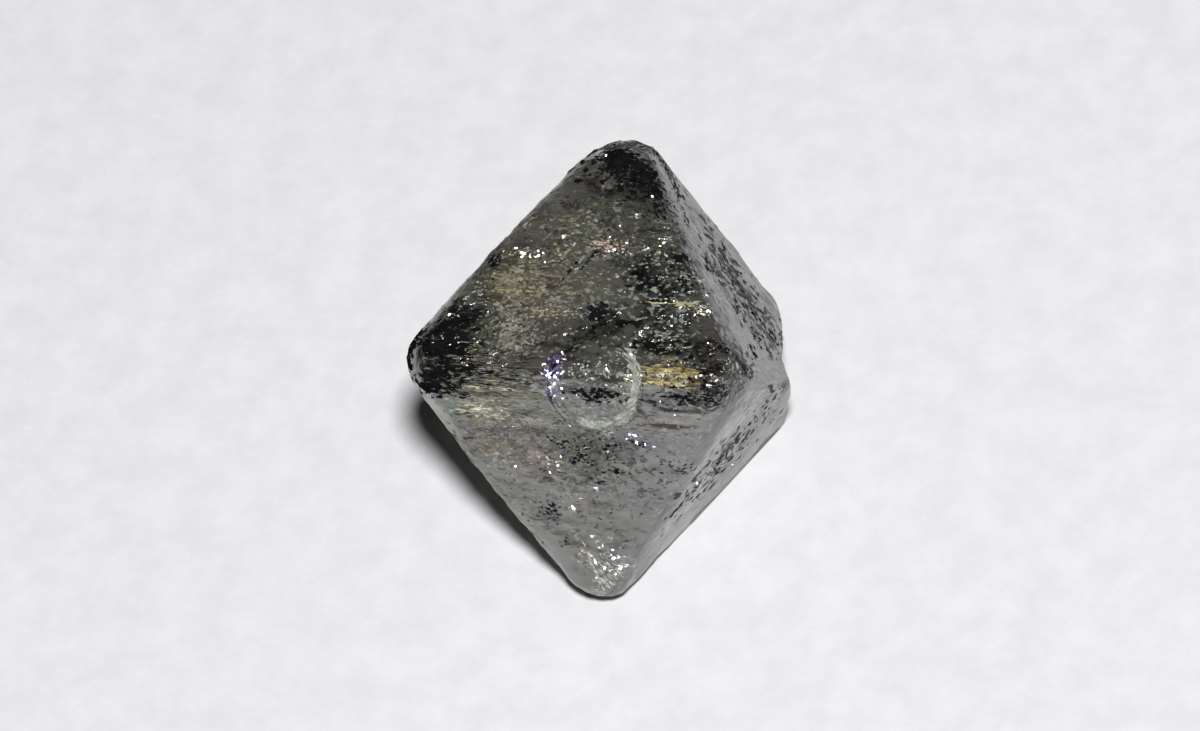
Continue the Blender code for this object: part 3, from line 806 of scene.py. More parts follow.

# Marks by tone and face: middle, spread along and across, count, size and stretch, and the corner
# that they run to if they don't follow the growth lines. Some are painted light: the ink, char and
# dusk marks massed at the tip and left corners are painted shade, the lavender band along the edge
# from the front to the tip is a painted reflection, and a pearl row at the tail's very tip is a
# painted highlight.
MARKS = (
    # Painted shade: these two ink rows darken the tip corner.
    (INK, UPPER, (2.66, 0.62, 0.2, 0.14, 200, 0.038, 1.3), (2.42, 0.98, 0.1, 0.12, 70, 0.032, 1.3),
     (2.15, 1.25, 0.06, 0.1, 34, 0.02, 2.0, "front")),
    (INK, LOWER, (0.1, 3.12, 0.08, 0.05, 30, 0.024, 1.6)),
    # Painted shade: the ink rows at 2.95 and 2.8 darken the tip corner, those at 0.27, 0.55 and 0.74 the
    # left corner.
    (INK, UPPER, (2.95, 0.3, 0.1, 0.07, 60, 0.034, 1.3), (2.48, 0.22, 0.03, 0.02, 8, 0.024, 1.5),
     (2.15, 0.32, 0.05, 0.04, 12, 0.018, 1.5), (2.22, 0.82, 0.03, 0.02, 6, 0.018, 1.5),
     (0.27, 0.42, 0.16, 0.12, 150, 0.042, 1.6), (0.55, 0.28, 0.09, 0.09, 50, 0.034, 1.4),
     (0.74, 0.16, 0.04, 0.06, 16, 0.026, 1.2), (1.33, 0.15, 0.04, 0.03, 18, 0.026, 1.4),
     (0.91, 0.46, 0.12, 0.006, 12, 0.012, 4.0), (0.83, 0.78, 0.03, 0.02, 6, 0.016, 1.4),
     (1.2, 1.72, 0.06, 0.05, 15, 0.05, 1.2), (1.55, 1.81, 0.05, 0.06, 13, 0.05, 1.1),
     (1.24, 2.11, 0.05, 0.05, 10, 0.045, 1.2), (0.79, 1.53, 0.05, 0.05, 15, 0.05, 1.1),
     (0.67, 1.93, 0.08, 0.04, 13, 0.046, 1.5), (0.43, 2.33, 0.12, 0.05, 18, 0.05, 1.6),
     (0.57, 1.64, 0.06, 0.04, 8, 0.04, 1.3), (1.48, 1.02, 0.12, 0.015, 18, 0.022, 3.0, "left"),
     (1.32, 0.92, 0.1, 0.015, 14, 0.024, 2.4, "left"), (2.8, 0.34, 0.12, 0.09, 34, 0.04, 1.3),
     (0.34, 2.75, 0.08, 0.08, 13, 0.045, 1.4), (0.14, 3.08, 0.08, 0.08, 40, 0.03, 1.4)),
    # Painted shade: the ink rows at (0.14, 0.42) and (0.28, 0.26) darken the left corner.
    (INK, LOWER, (0.14, 0.42, 0.15, 0.07, 100, 0.036, 2.2), (0.15, 0.92, 0.3, 0.09, 150, 0.024, 8.0),
     (0.28, 0.26, 0.07, 0.05, 24, 0.032, 1.8), (0.07, 0.8, 0.2, 0.03, 60, 0.024, 6.0)),
    (INK, UPPER, (0.1, 0.85, 0.3, 0.06, 60, 0.022, 8.0)),
    # Painted shade: these ink rows darken the tip corner (2.9, 0.28) and the left corner (0.22, 0.22 and
    # 0.1, 0.16).
    (INK, BACK_UPPER, (2.9, 0.28, 0.16, 0.08, 60, 0.034, 1.3),
     (0.22, 0.22, 0.12, 0.12, 90, 0.044, 1.2)),
    (INK, BACK_LOWER, (0.1, 0.16, 0.07, 0.1, 34, 0.034, 1.2)),
    # Painted shade: the ink rows at (0.36, 0.14) and (0.33, 0.4) darken the left corner.
    (INK, LOWER, (0.36, 0.14, 0.1, 0.05, 40, 0.034, 1.4), (0.33, 0.4, 0.11, 0.06, 44, 0.034, 2.4),
     (1.1, 1.3, 0.18, 0.12, 40, 0.024, 1.4)),
    (INK, UPPER, (0.45, 3.0, 0.08, 0.05, 24, 0.026, 1.4)),
    (INK, LOWER, (0.28, 1.9, 0.15, 0.045, 70, 0.028, 1.3), (0.68, 1.3, 0.04, 0.02, 9, 0.018, 1.8),
     (0.26, 2.8, 0.16, 0.05, 70, 0.027, 2.2), (0.89, 1.91, 0.1, 0.04, 24, 0.018, 1.7),
     (1.12, 1.34, 0.24, 0.13, 110, 0.014, 1.4), (1.33, 1.42, 0.08, 0.03, 16, 0.026, 1.5),
     (1.0, 1.62, 0.07, 0.03, 16, 0.026, 1.8), (0.98, 1.15, 0.07, 0.03, 14, 0.022, 1.6),
     (1.2, 1.18, 0.05, 0.04, 12, 0.024, 1.4), (1.5, 1.2, 0.05, 0.03, 10, 0.022, 1.5),
     (1.92, 0.47, 0.05, 0.04, 22, 0.02, 1.4), (2.34, 0.35, 0.05, 0.03, 8, 0.016, 1.6),
     (1.28, 2.12, 0.1, 0.04, 20, 0.016, 2.0), (0.36, 1.42, 0.02, 0.05, 8, 0.016, 1.0)),
    (INK, UPPER, (0.42, 1.52, 0.1, 0.02, 20, 0.018, 2.2)),
    (INK, RIGHT_UPPER, (1.6, 0.49, 0.06, 0.09, 11, 0.034, 1.0), (1.35, 1.4, 0.07, 0.09, 11, 0.032, 1.0),
     (1.27, 1.14, 0.07, 0.09, 13, 0.034, 1.0), (0.8, 1.25, 0.08, 0.1, 17, 0.035, 1.0),
     (0.5, 1.27, 0.08, 0.11, 17, 0.035, 1.0), (0.47, 1.9, 0.07, 0.1, 15, 0.034, 1.0),
     (0.39, 2.36, 0.05, 0.08, 15, 0.035, 1.0)),
    (INK, RIGHT_LOWER, (0.64, 1.67, 0.06, 0.08, 11, 0.025, 1.0),
     (0.95, 1.55, 0.08, 0.1, 15, 0.025, 1.0), (1.19, 1.39, 0.07, 0.1, 15, 0.025, 1.0),
     (1.61, 1.35, 0.07, 0.09, 11, 0.024, 1.0), (1.4, 1.0, 0.08, 0.06, 5, 0.03, 1.3)),
    # Painted shade: the char rows at 3.2 here and on the next two lines darken the tip corner.
    (CHAR, UPPER, (1.6, 0.1, 0.75, 0.03, 60, 0.016, 3.0, "left"),
     (3.2, 0.16, 0.1, 0.08, 40, 0.026, 1.4)),
    (CHAR, RIGHT_UPPER, (3.2, 0.12, 0.1, 0.08, 26, 0.026, 1.4)),
    (CHAR, BACK_UPPER, (3.2, 0.14, 0.1, 0.08, 26, 0.026, 1.4)),
    # Painted shade: these first two char rows, at 2.55 and 2.8, darken the tip corner.
    (CHAR, RIGHT_UPPER, (2.55, 0.4, 0.2, 0.06, 60, 0.026, 2.4, "front"),
     (2.8, 0.22, 0.14, 0.06, 50, 0.03, 1.6), (2.15, 0.95, 0.16, 0.03, 24, 0.016, 3.0, "front")),
    # Painted shade: the first char row here, at (2.5, 0.75), darkens the tip corner.
    (CHAR, UPPER, (2.5, 0.75, 0.26, 0.2, 110, 0.028, 1.4),
     (2.3, 1.2, 0.05, 0.16, 26, 0.016, 3.0, "front"), (0.45, 0.55, 0.2, 0.16, 60, 0.024, 1.5),
     (1.05, 2.02, 0.28, 0.24, 120, 0.024, 1.5), (0.6, 1.4, 0.3, 0.18, 50, 0.013, 1.8),
     (1.95, 0.7, 0.32, 0.24, 90, 0.02, 1.6), (1.52, 1.2, 0.3, 0.12, 60, 0.014, 1.8),
     (0.12, 1.05, 0.3, 0.06, 40, 0.012, 7.0)),
    (CHAR, LOWER, (0.22, 0.9, 0.3, 0.1, 80, 0.018, 8.0), (0.35, 1.15, 0.3, 0.1, 40, 0.014, 6.0)),
    (CHAR, UPPER, (0.55, 2.55, 0.1, 0.12, 50, 0.018, 1.6), (2.12, 0.4, 0.06, 0.05, 9, 0.038, 1.2),
     (1.98, 0.88, 0.05, 0.05, 8, 0.034, 1.2), (1.78, 0.5, 0.05, 0.04, 6, 0.03, 1.2),
     (0.16, 3.1, 0.1, 0.08, 34, 0.036, 1.3)),
    (CHAR, LOWER, (0.2, 3.05, 0.12, 0.07, 34, 0.036, 1.3)),
    (CHAR, RIGHT_UPPER, (0.22, 3.06, 0.08, 0.08, 26, 0.036, 1.2)),
    (CHAR, LOWER, (0.3, 2.62, 0.22, 0.06, 50, 0.02, 3.0), (0.99, 0.6, 0.22, 0.004, 24, 0.008, 6.0),
     (1.12, 1.34, 0.27, 0.15, 130, 0.019, 1.4), (1.94, 0.47, 0.09, 0.07, 30, 0.016, 1.4),
     (1.28, 2.05, 0.16, 0.07, 26, 0.02, 2.2), (1.4, 0.9, 0.55, 0.5, 100, 0.009, 1.5)),
    (CHAR, RIGHT_UPPER, (1.48, 1.51, 0.06, 0.09, 17, 0.039, 1.0),
     (1.13, 1.0, 0.08, 0.1, 23, 0.046, 1.0), (0.85, 1.75, 0.08, 0.09, 17, 0.035, 1.0),
     (1.8, 0.6, 0.1, 0.08, 8, 0.034, 1.5), (2.3, 0.5, 0.14, 0.08, 9, 0.03, 2.0),
     (1.0, 1.1, 0.42, 0.32, 80, 0.028, 0.9)),
    (CHAR, RIGHT_LOWER, (0.82, 1.35, 0.08, 0.08, 8, 0.034, 1.4), (0.4, 1.7, 0.08, 0.08, 7, 0.034, 1.4),
     (1.82, 1.35, 0.07, 0.06, 8, 0.034, 1.4), (1.1, 1.3, 0.45, 0.3, 80, 0.022, 0.8)),
    # Painted shade: these three dusk rows darken the tip corner.
    (DUSK, UPPER, (3.2, 0.16, 0.12, 0.1, 40, 0.03, 1.4)),
    (DUSK, RIGHT_UPPER, (3.05, 0.2, 0.14, 0.1, 40, 0.03, 1.4)),
    (DUSK, BACK_UPPER, (3.15, 0.18, 0.12, 0.1, 30, 0.03, 1.4)),
    (DUSK, UPPER, (1.75, 0.07, 0.85, 0.035, 120, 0.022, 3.0, "left")),
    (DUSK, LOWER, (0.22, 1.0, 0.34, 0.11, 110, 0.022, 6.0)),
    (DUSK, UPPER, (2.3, 0.45, 0.25, 0.2, 50, 0.024, 1.5), (1.45, 0.7, 0.35, 0.12, 60, 0.018, 1.8)),
    (DUSK, LOWER, (1.15, 1.3, 0.3, 0.18, 90, 0.034, 1.3), (1.6, 0.8, 0.45, 0.4, 90, 0.018, 1.4),
     (0.7, 2.3, 0.2, 0.12, 40, 0.018, 3.0)),
    (DUSK, RIGHT_UPPER, (0.95, 1.12, 0.44, 0.34, 90, 0.044, 1.0),
     (0.3, 2.9, 0.14, 0.14, 60, 0.036, 1.2), (1.45, 0.8, 0.2, 0.26, 60, 0.044, 1.0)),
    (DUSK, LOWER, (0.3, 2.95, 0.12, 0.1, 50, 0.032, 1.5)),
    (DUSK, RIGHT_LOWER, (1.1, 1.4, 0.45, 0.35, 80, 0.046, 0.8)),
    (DUSK, LOWER, (2.0, 1.0, 0.25, 0.25, 50, 0.018, 1.6)),
    (SLATE, RIGHT_UPPER, (0.95, 1.15, 0.48, 0.38, 130, 0.066, 1.0)),
    (SLATE, LOWER, (1.15, 1.3, 0.36, 0.22, 110, 0.048, 1.2)),
    (SLATE, RIGHT_LOWER, (1.05, 1.4, 0.45, 0.35, 50, 0.056, 1.0)),
    (UMBER, LOWER, (0.64, 2.24, 0.15, 0.05, 26, 0.014, 9.0)),
    (UMBER, UPPER, (2.6, 0.6, 0.16, 0.12, 14, 0.018, 1.6)),
    (UMBER, LOWER, (0.98, 0.62, 0.2, 0.02, 12, 0.01, 5.0)),
    (UMBER, UPPER, (0.35, 2.95, 0.05, 0.16, 24, 0.018, 2.0)),
    (OLIVE, LOWER, (0.38, 0.9, 0.36, 0.18, 170, 0.034, 3.5), (1.0, 0.7, 0.36, 0.2, 120, 0.032, 1.5)),
    (OLIVE, UPPER, (1.05, 0.7, 0.34, 0.24, 130, 0.022, 2.0), (1.7, 0.9, 0.34, 0.2, 90, 0.02, 1.6)),
    (OLIVE, LOWER, (1.05, 1.2, 0.34, 0.18, 110, 0.028, 1.3), (0.7, 0.8, 0.34, 0.1, 60, 0.018, 2.4),
     (0.3, 0.95, 0.32, 0.12, 90, 0.02, 5.0)),
    (OLIVE, UPPER, (0.5, 2.4, 0.2, 0.16, 60, 0.02, 1.5)),
    (KHAKI, UPPER, (0.12, 0.85, 0.3, 0.07, 90, 0.022, 7.0)),
    (KHAKI, LOWER, (0.15, 0.95, 0.3, 0.08, 100, 0.022, 8.0)),
    (KHAKI, UPPER, (1.25, 0.8, 0.26, 0.14, 120, 0.02, 1.6), (0.25, 2.6, 0.2, 0.1, 60, 0.018, 2.0),
     (1.15, 0.5, 0.2, 0.12, 130, 0.026, 2.0), (0.75, 0.85, 0.26, 0.14, 130, 0.025, 1.8),
     (0.38, 1.0, 0.26, 0.14, 110, 0.024, 1.6), (1.9, 0.6, 0.26, 0.16, 116, 0.025, 1.4),
     (1.05, 1.2, 0.22, 0.12, 80, 0.016, 1.8)),
    (SAND, UPPER, (1.12, 0.54, 0.18, 0.1, 90, 0.026, 1.8), (0.85, 0.85, 0.24, 0.12, 90, 0.025, 1.6),
     (0.42, 0.92, 0.1, 0.14, 40, 0.026, 0.9), (1.85, 0.62, 0.2, 0.12, 22, 0.022, 1.5)),
    (SAND, LOWER, (1.18, 0.36, 0.12, 0.14, 50, 0.028, 1.2)),
    (MOSS, UPPER, (1.1, 1.9, 0.34, 0.28, 90, 0.032, 1.4), (0.65, 2.3, 0.2, 0.14, 40, 0.026, 1.6),
     (0.95, 1.35, 0.24, 0.14, 50, 0.024, 1.6)),
    # Painted reflection: this lavender band along the edge from the front to the tip.
    (LAVENDER, RIGHT_UPPER, (1.1, 2.25, 0.6, 0.09, 110, 0.034, 3.0, "front")),
    (LAVENDER, LOWER, (1.3, 2.05, 0.5, 0.06, 60, 0.022, 3.0, "front"),
     (0.8, 2.3, 0.14, 0.08, 30, 0.02, 2.0)),
    (MAUVE, LOWER, (1.0, 0.6, 0.3, 0.22, 50, 0.032, 1.5), (1.5, 1.6, 0.3, 0.45, 60, 0.034, 1.3),
     (1.8, 0.6, 0.25, 0.35, 40, 0.03, 1.3)),
    (MAUVE, UPPER, (1.6, 1.75, 0.2, 0.2, 30, 0.016, 1.6)),
    (STONE, LOWER, (0.62, 0.62, 0.14, 0.06, 70, 0.03, 2.5), (1.3, 0.4, 0.12, 0.16, 30, 0.028, 1.2)),
    (STONE, UPPER, (0.44, 0.92, 0.07, 0.14, 60, 0.024, 0.8), (0.33, 1.12, 0.06, 0.1, 34, 0.02, 0.7),
     (0.55, 1.0, 0.4, 0.2, 70, 0.018, 1.4)),
    (STONE, LOWER, (0.56, 1.74, 0.16, 0.08, 60, 0.03, 1.4)),
    (STONE, UPPER, (0.25, 2.05, 0.2, 0.12, 40, 0.018, 1.2), (1.6, 1.6, 0.3, 0.24, 60, 0.013, 1.6),
     (0.2, 0.95, 0.22, 0.07, 24, 0.014, 7.0)),
    (SAGE, UPPER, (0.5, 0.8, 0.14, 0.18, 36, 0.018, 1.1), (1.1, 1.6, 0.5, 0.3, 40, 0.015, 1.8),
     (1.5, 0.93, 0.1, 0.01, 12, 0.016, 4.0, "left"), (0.25, 2.15, 0.14, 0.1, 34, 0.016, 1.2),
     (1.38, 2.04, 0.12, 0.16, 40, 0.014, 1.8), (1.45, 0.72, 0.2, 0.08, 30, 0.01, 2.4),
     (0.85, 1.2, 0.24, 0.1, 50, 0.012, 2.0)),
    (SAGE, LOWER, (0.59, 0.3, 0.06, 0.05, 16, 0.018, 1.6), (0.5, 0.95, 0.3, 0.05, 24, 0.01, 6.0)),
    (PEARL, UPPER, (1.06, 0.17, 0.02, 0.02, 4, 0.014, 1.2), (0.86, 0.19, 0.02, 0.03, 6, 0.014, 1.2),
     (0.64, 0.23, 0.02, 0.03, 6, 0.014, 1.2), (1.2, 1.85, 0.32, 0.28, 22, 0.014, 1.8),
     (0.92, 2.44, 0.05, 0.015, 10, 0.014, 1.8)),
    # Painted highlight: the pearl row at (3.18, 0.18), on the next line, lights the tail's very tip.
    (PEARL, LOWER, (2.66, 0.56, 0.18, 0.09, 50, 0.018, 3.0, "left"),
     (2.94, 0.38, 0.1, 0.06, 24, 0.022, 2.6, "left"), (3.18, 0.18, 0.08, 0.05, 40, 0.016, 2.0),
     (0.31, 0.8, 0.18, 0.04, 24, 0.01, 9.0), (0.17, 1.0, 0.3, 0.1, 56, 0.015, 9.0),
     (1.6, 1.0, 0.55, 0.45, 46, 0.007, 1.6)),
    (PEARL, RIGHT_UPPER, (0.9, 2.2, 0.3, 0.2, 24, 0.02, 1.6)),
    (MIST, UPPER, (1.35, 1.75, 0.3, 0.22, 14, 0.018, 1.8), (0.57, 2.28, 0.1, 0.02, 12, 0.016, 4.0),
     (1.0, 2.35, 0.12, 0.03, 14, 0.018, 2.6), (1.4, 0.8, 0.1, 0.1, 14, 0.016, 2.4),
     (0.78, 1.25, 0.2, 0.06, 20, 0.016, 2.4)),
    (MIST, LOWER, (2.8, 0.48, 0.16, 0.08, 40, 0.023, 2.6, "left"),
     (0.8, 1.62, 0.1, 0.03, 14, 0.018, 2.4)),
    (CREAM, LOWER, (0.62, 0.58, 0.12, 0.05, 90, 0.024, 3.0), (0.3, 0.85, 0.13, 0.01, 30, 0.022, 9.0),
     (0.2, 0.95, 0.12, 0.008, 14, 0.018, 9.0), (0.47, 0.74, 0.16, 0.02, 14, 0.012, 8.0)),
    (CREAM, UPPER, (1.52, 0.3, 0.08, 0.02, 16, 0.012, 2.0), (0.96, 2.02, 0.07, 0.006, 6, 0.009, 5.0)),
    (CREAM, LOWER, (2.75, 0.5, 0.12, 0.12, 26, 0.009, 1.4)),
    (WHEAT, UPPER, (0.16, 0.8, 0.22, 0.06, 24, 0.012, 9.0)),
    (WHEAT, LOWER, (0.06, 2.68, 0.14, 0.03, 30, 0.018, 5.0)),
    (WHEAT, UPPER, (1.52, 0.74, 0.05, 0.01, 9, 0.013, 4.0, "left"),
     (1.56, 0.64, 0.05, 0.01, 9, 0.013, 4.0, "front")),
    (WHEAT, LOWER, (0.31, 0.82, 0.14, 0.02, 16, 0.009, 9.0), (0.43, 0.65, 0.12, 0.03, 14, 0.01, 7.0),
     (0.66, 0.6, 0.12, 0.05, 34, 0.016, 3.0)),
    (WHEAT, UPPER, (0.96, 2.02, 0.1, 0.006, 18, 0.017, 5.0), (0.97, 2.28, 0.06, 0.015, 26, 0.026, 2.6),
     (0.08, 2.72, 0.18, 0.05, 34, 0.019, 6.0), (1.15, 0.5, 0.16, 0.06, 20, 0.012, 3.0),
     (1.7, 1.1, 0.1, 0.03, 14, 0.012, 2.4)),
    (AMBER, UPPER, (0.09, 2.74, 0.2, 0.05, 60, 0.02, 6.0)),
    (AMBER, LOWER, (0.07, 2.72, 0.18, 0.03, 36, 0.019, 6.0)),
    (AMBER, UPPER, (0.76, 1.06, 0.08, 0.005, 10, 0.014, 6.0), (1.0, 0.66, 0.14, 0.006, 14, 0.015, 6.0)),
    (AMBER, LOWER, (0.36, 0.86, 0.22, 0.05, 22, 0.009, 8.0), (1.2, 0.62, 0.12, 0.06, 14, 0.012, 3.0)),
    (BLUSH, LOWER, (1.16, 0.42, 0.12, 0.06, 24, 0.018, 1.6), (0.95, 0.5, 0.1, 0.04, 16, 0.014, 3.0)),
    (BLUSH, UPPER, (1.66, 1.04, 0.11, 0.03, 34, 0.02, 2.4)),
    (BLUSH, LOWER, (0.72, 0.72, 0.2, 0.05, 30, 0.016, 3.0), (1.3, 0.8, 0.2, 0.05, 20, 0.01, 2.0)),
    (BLUSH, UPPER, (1.88, 0.09, 0.06, 0.03, 14, 0.018, 2.0, "left")))
# Marks on each hidden face: tone, count and size.
HIDDEN_MARKS = ((INK, 60, 0.026), (CHAR, 100, 0.022), (DUSK, 120, 0.030), (OLIVE, 80, 0.024),
                (MAUVE, 60, 0.020), (SAGE, 50, 0.014), (PEARL, 30, 0.010))
HIDDEN_PLACE = (1.2, 1.2, 0.62, 0.62)  # middle and spread
HIDDEN_STRETCH = 1.5
# Marks around the lump, as painted light and shade: the pale mist, pearl and sage marks along its
# right and lower rim paint its bright rim, grey and sage marks inside it paint the light and shade
# of its dome, and the ink and char marks on its upper left and the thin ink line just outside its
# rim paint its shade. Each row: tone, from and to which angle, reach and its spread, count, size,
# stretch.
LUMP_LIGHT_AND_SHADE = (
    (IRIS, 160, 218, 0.475, 0.045, 44, 0.02, 1.3), (MIST, -55, 115, 0.455, 0.03, 120, 0.036, 2.0),
    (PEARL, -35, 60, 0.47, 0.015, 30, 0.026, 3.0), (SAGE, -62, 60, 0.44, 0.03, 90, 0.03, 2.2),
    (MIST, -50, 60, 0.465, 0.022, 70, 0.026, 2.6), (SAGE, 20, 125, 0.45, 0.03, 90, 0.03, 2.2),
    (MIST, 20, 120, 0.47, 0.022, 90, 0.026, 2.6), (PEARL, -10, 100, 0.5, 0.012, 80, 0.018, 3.4),
    (STONE, 100, 185, 0.44, 0.04, 60, 0.026, 1.8), (STONE, 30, 150, 0.3, 0.06, 70, 0.034, 1.2),
    (SAGE, -60, 60, 0.3, 0.06, 40, 0.018, 1.2), (INK, 190, 262, 0.47, 0.025, 60, 0.022, 2.4),
    (INK, -70, 110, 0.56, 0.01, 60, 0.012, 5.0), (STONE, 0, 360, 0.2, 0.12, 30, 0.018, 1.2),
    (CHAR, 262, 300, 0.42, 0.05, 24, 0.022, 1.8))
MARK_THICKNESS = 0.005
MARK_SIZES = (0.35, 1.25)              # over a row's size
MARK_TURN = 0.28                       # how far a mark turns out of line, times its stretch
MARK_RIM = (0.30, 1.35)                # a mark's uneven rim, over its radius
MARK_SHADES = (0.72, 1.22)             # a mark's lightness, over its tone's
GLINT_SIZE = (0.007, 0.018)
GLINT_SHARE = 0.26                     # as many glints on the surface as this share of the cracks
GLINT_TILT = 0.05
GLINT_THICKNESS = 0.02                 # over its radius


def run_direction(signs, run):
    """The direction on a face along its growth lines, or along an edge to the named corner."""
    if run == "front":
        return np.array((signs[0], -signs[1], 0)) / sqrt(2)
    if run == "left":
        return np.array((signs[0], 0, -signs[2])) / sqrt(2)
    return along_growth(np.array([signs], dtype=float))[0]


def face_marks(random, signs, x, y, along, across, count, size, stretch, run="growth"):
    """Marks scattered about a place on a face: directions, lengthways directions, radii, stretch."""
    lengthways = run_direction(signs, run)
    directions = scattered(random, signs, x, y, lengthways, (along, across), count)
    return directions, np.tile(lengthways, (count, 1)), np.full(count, size), np.full(count, stretch)


def lump_light_and_shade(random, first, last, reach, spread, count, size, stretch):
    """Marks scattered along an arc about the lump's axis: the painted light and shade of its rim."""
    turn = np.radians(random.uniform(first, last, count))
    reach = reach + random.normal(0, spread, count)
    outward = np.outer(np.cos(turn), RIDGE_RUN) - np.outer(np.sin(turn), TO_TIP)
    tangents = np.outer(-np.sin(turn), RIDGE_RUN) - np.outer(np.cos(turn), TO_TIP)
    drop = np.outer(np.abs(np.sin(turn) * reach) / sqrt(2), RIDGE)
    points = LUMP_MIDDLE + outward * reach[:, None] - drop
    return unit(points), tangents, np.full(count, size), np.full(count, stretch)


def make_marks(material):
    """Thin matte marks that lie in the surface: mineral stains, frosted spots, and painted shade,
    highlights and a painted reflection.
    """
    random = np.random.default_rng(23)
    groups = []
    for tone, signs, *rows in MARKS:
        groups += [(tone, *face_marks(random, signs, *row)) for row in rows]
    for signs in HIDDEN:
        groups += [(tone, *face_marks(random, signs, *HIDDEN_PLACE, count, size, HIDDEN_STRETCH))
                   for tone, count, size in HIDDEN_MARKS]
    groups += [(tone, *lump_light_and_shade(random, *row)) for tone, *row in LUMP_LIGHT_AND_SHADE]
    tones = np.concatenate([np.tile(tone, (len(rest[0]), 1)) for tone, *rest in groups])
    directions, runs, sizes, stretches = (np.concatenate(column) for column in list(zip(*groups))[1:])
    surface, normals = surface_at(directions, fine_points)
    shapes, colours = [], []
    for point, normal, run, size, stretch, tone in zip(surface, normals, runs, sizes, stretches, tones):
        radius = size * random.uniform(*MARK_SIZES) / sqrt(stretch)
        along = run + random.normal(0, MARK_TURN / stretch, 3)
        shape = lens(point, normal, radius, random, stretch=stretch, along=along,
                     thickness=MARK_THICKNESS, rim=MARK_RIM)
        shapes.append(shape)
        colours.append(np.tile((*tone * random.uniform(*MARK_SHADES), 1), (len(shape[0]), 1)))
    marks = joined("surface_marks", shapes, material)
    add_colour_attribute(marks.data, "tone", np.vstack(colours))
    return marks


def make_glints(name, zones, seed, material):
    """Tiny facets in the surface that face the flash."""
    random = np.random.default_rng(seed)
    between = unit(TO_PART @ np.array(camera_axes()[2]) + TO_PART @ np.array(flash_direction()))
    shapes = []
    for signs, x, y, spread, *_, cracks in zones:
        count = int(round(cracks * GLINT_SHARE))
        if not count:
            continue
        for point in fine_points(zone_directions(random, signs, x, y, spread, count)):
            radius = random.uniform(*GLINT_SIZE)
            normal = between + random.normal(0, GLINT_TILT, 3)
            shapes.append(lens(point, normal, radius, random, thickness=GLINT_THICKNESS * radius))
    return joined(name, shapes, material)


# ---- Satin films ----

# By face: middle, spread along and across the ridge, count, size, stretch and tilt.
GOLD_FILMS = by_face(
    (UPPER, (0.06, 2.76, 0.22, 0.07, 70, 0.036, 5.0, 0.07)),
    (LOWER, (0.34, 0.8, 0.18, 0.03, 26, 0.03, 7.0, 0.07),
     (0.62, 0.58, 0.14, 0.06, 34, 0.034, 5.0, 0.07)),
    (UPPER, (0.1, 0.6, 0.24, 0.06, 20, 0.028, 5.0, 0.1), (1.05, 0.62, 0.18, 0.1, 16, 0.04, 4.0, 0.1),
     (0.95, 2.2, 0.22, 0.015, 12, 0.022, 6.0, 0.06), (0.75, 1.2, 0.1, 0.01, 5, 0.02, 7.0, 0.05),
     (1.7, 1.12, 0.1, 0.03, 10, 0.032, 3.0, 0.07)),
    (LOWER, (1.2, 0.66, 0.14, 0.08, 10, 0.035, 3.0, 0.08)))
GREY_FILMS = by_face(
    (UPPER, (0.5, 0.62, 0.05, 0.12, 14, 0.045, 0.4, 0.1), (0.62, 1.1, 0.16, 0.12, 12, 0.03, 0.6, 0.12),
     (1.45, 0.62, 0.14, 0.1, 16, 0.035, 0.5, 0.12), (0.8, 1.8, 0.3, 0.2, 20, 0.03, 1.6, 0.12)),
    (LOWER, (0.8, 0.9, 0.34, 0.16, 14, 0.03, 3.0, 0.1), (1.5, 1.0, 0.4, 0.3, 20, 0.025, 2.0, 0.12),
     (2.6, 0.56, 0.14, 0.18, 14, 0.03, 1.0, 0.1)),
    *((signs, (1.3, 1.1, 0.4, 0.3, 24, 0.035, 1.0, 0.2)) for signs in HIDDEN))


def make_films(name, films, seed, material):
    """Larger satin films below the faces, drawn out along the growth lines."""
    random = np.random.default_rng(seed)
    shapes = []
    for signs, x, y, along, across, count, size, stretch, tilt in films:
        directions = scattered(random, signs, x, y, RIDGE_RUN, (along, across), count)
        for point, surface_normal in zip(*surface_at(directions)):
            depth = COVER + random.uniform(*FILM_DEPTH)
            normal = facing_light(surface_normal) + random.normal(0, tilt, 3)
            radius = size * random.uniform(*FILM_SIZES) / sqrt(stretch)
            shapes.append(lens(sunk(point, depth), normal, radius, random, sides=FILM_SIDES,
                               stretch=stretch, along=RIDGE_RUN))
    return joined(name, shapes, material)


# ---- Materials ----

DIAMOND_IOR = 2.417
DIAMOND_TRANSMISSION = 0.95
DIAMOND_ABSORPTION = (0.80, 0.78, 0.72)
DIAMOND_DENSITY = 110.0
DIAMOND_ROUGHNESS = 0.22
WHITE, BLACK = (1, 1, 1), (0, 0, 0)
SPECK_NOISE = (9.0, 6.0, 0.72)         # scale per millimetre, detail and roughness
SPECK_STOPS = (0.40, 0.55)             # from dark to clear
SPECK_TONE = (0.06, 0.055, 0.055)
LINE_NOISE = (14.0, 3.0, 0.6)
LINE_STOPS = (0.42, 0.54)
# Painted shade: the growth lines are darkened to this tone where their bump sinks.
LINE_SHADE_TONE = (0.10, 0.10, 0.09)
LINE_BUMP = 0.000012
PIT_NOISE = (13.0, 3.0, 0.6)
PIT_STOPS = (0.50, 0.64)               # from a pit's rim to its floor
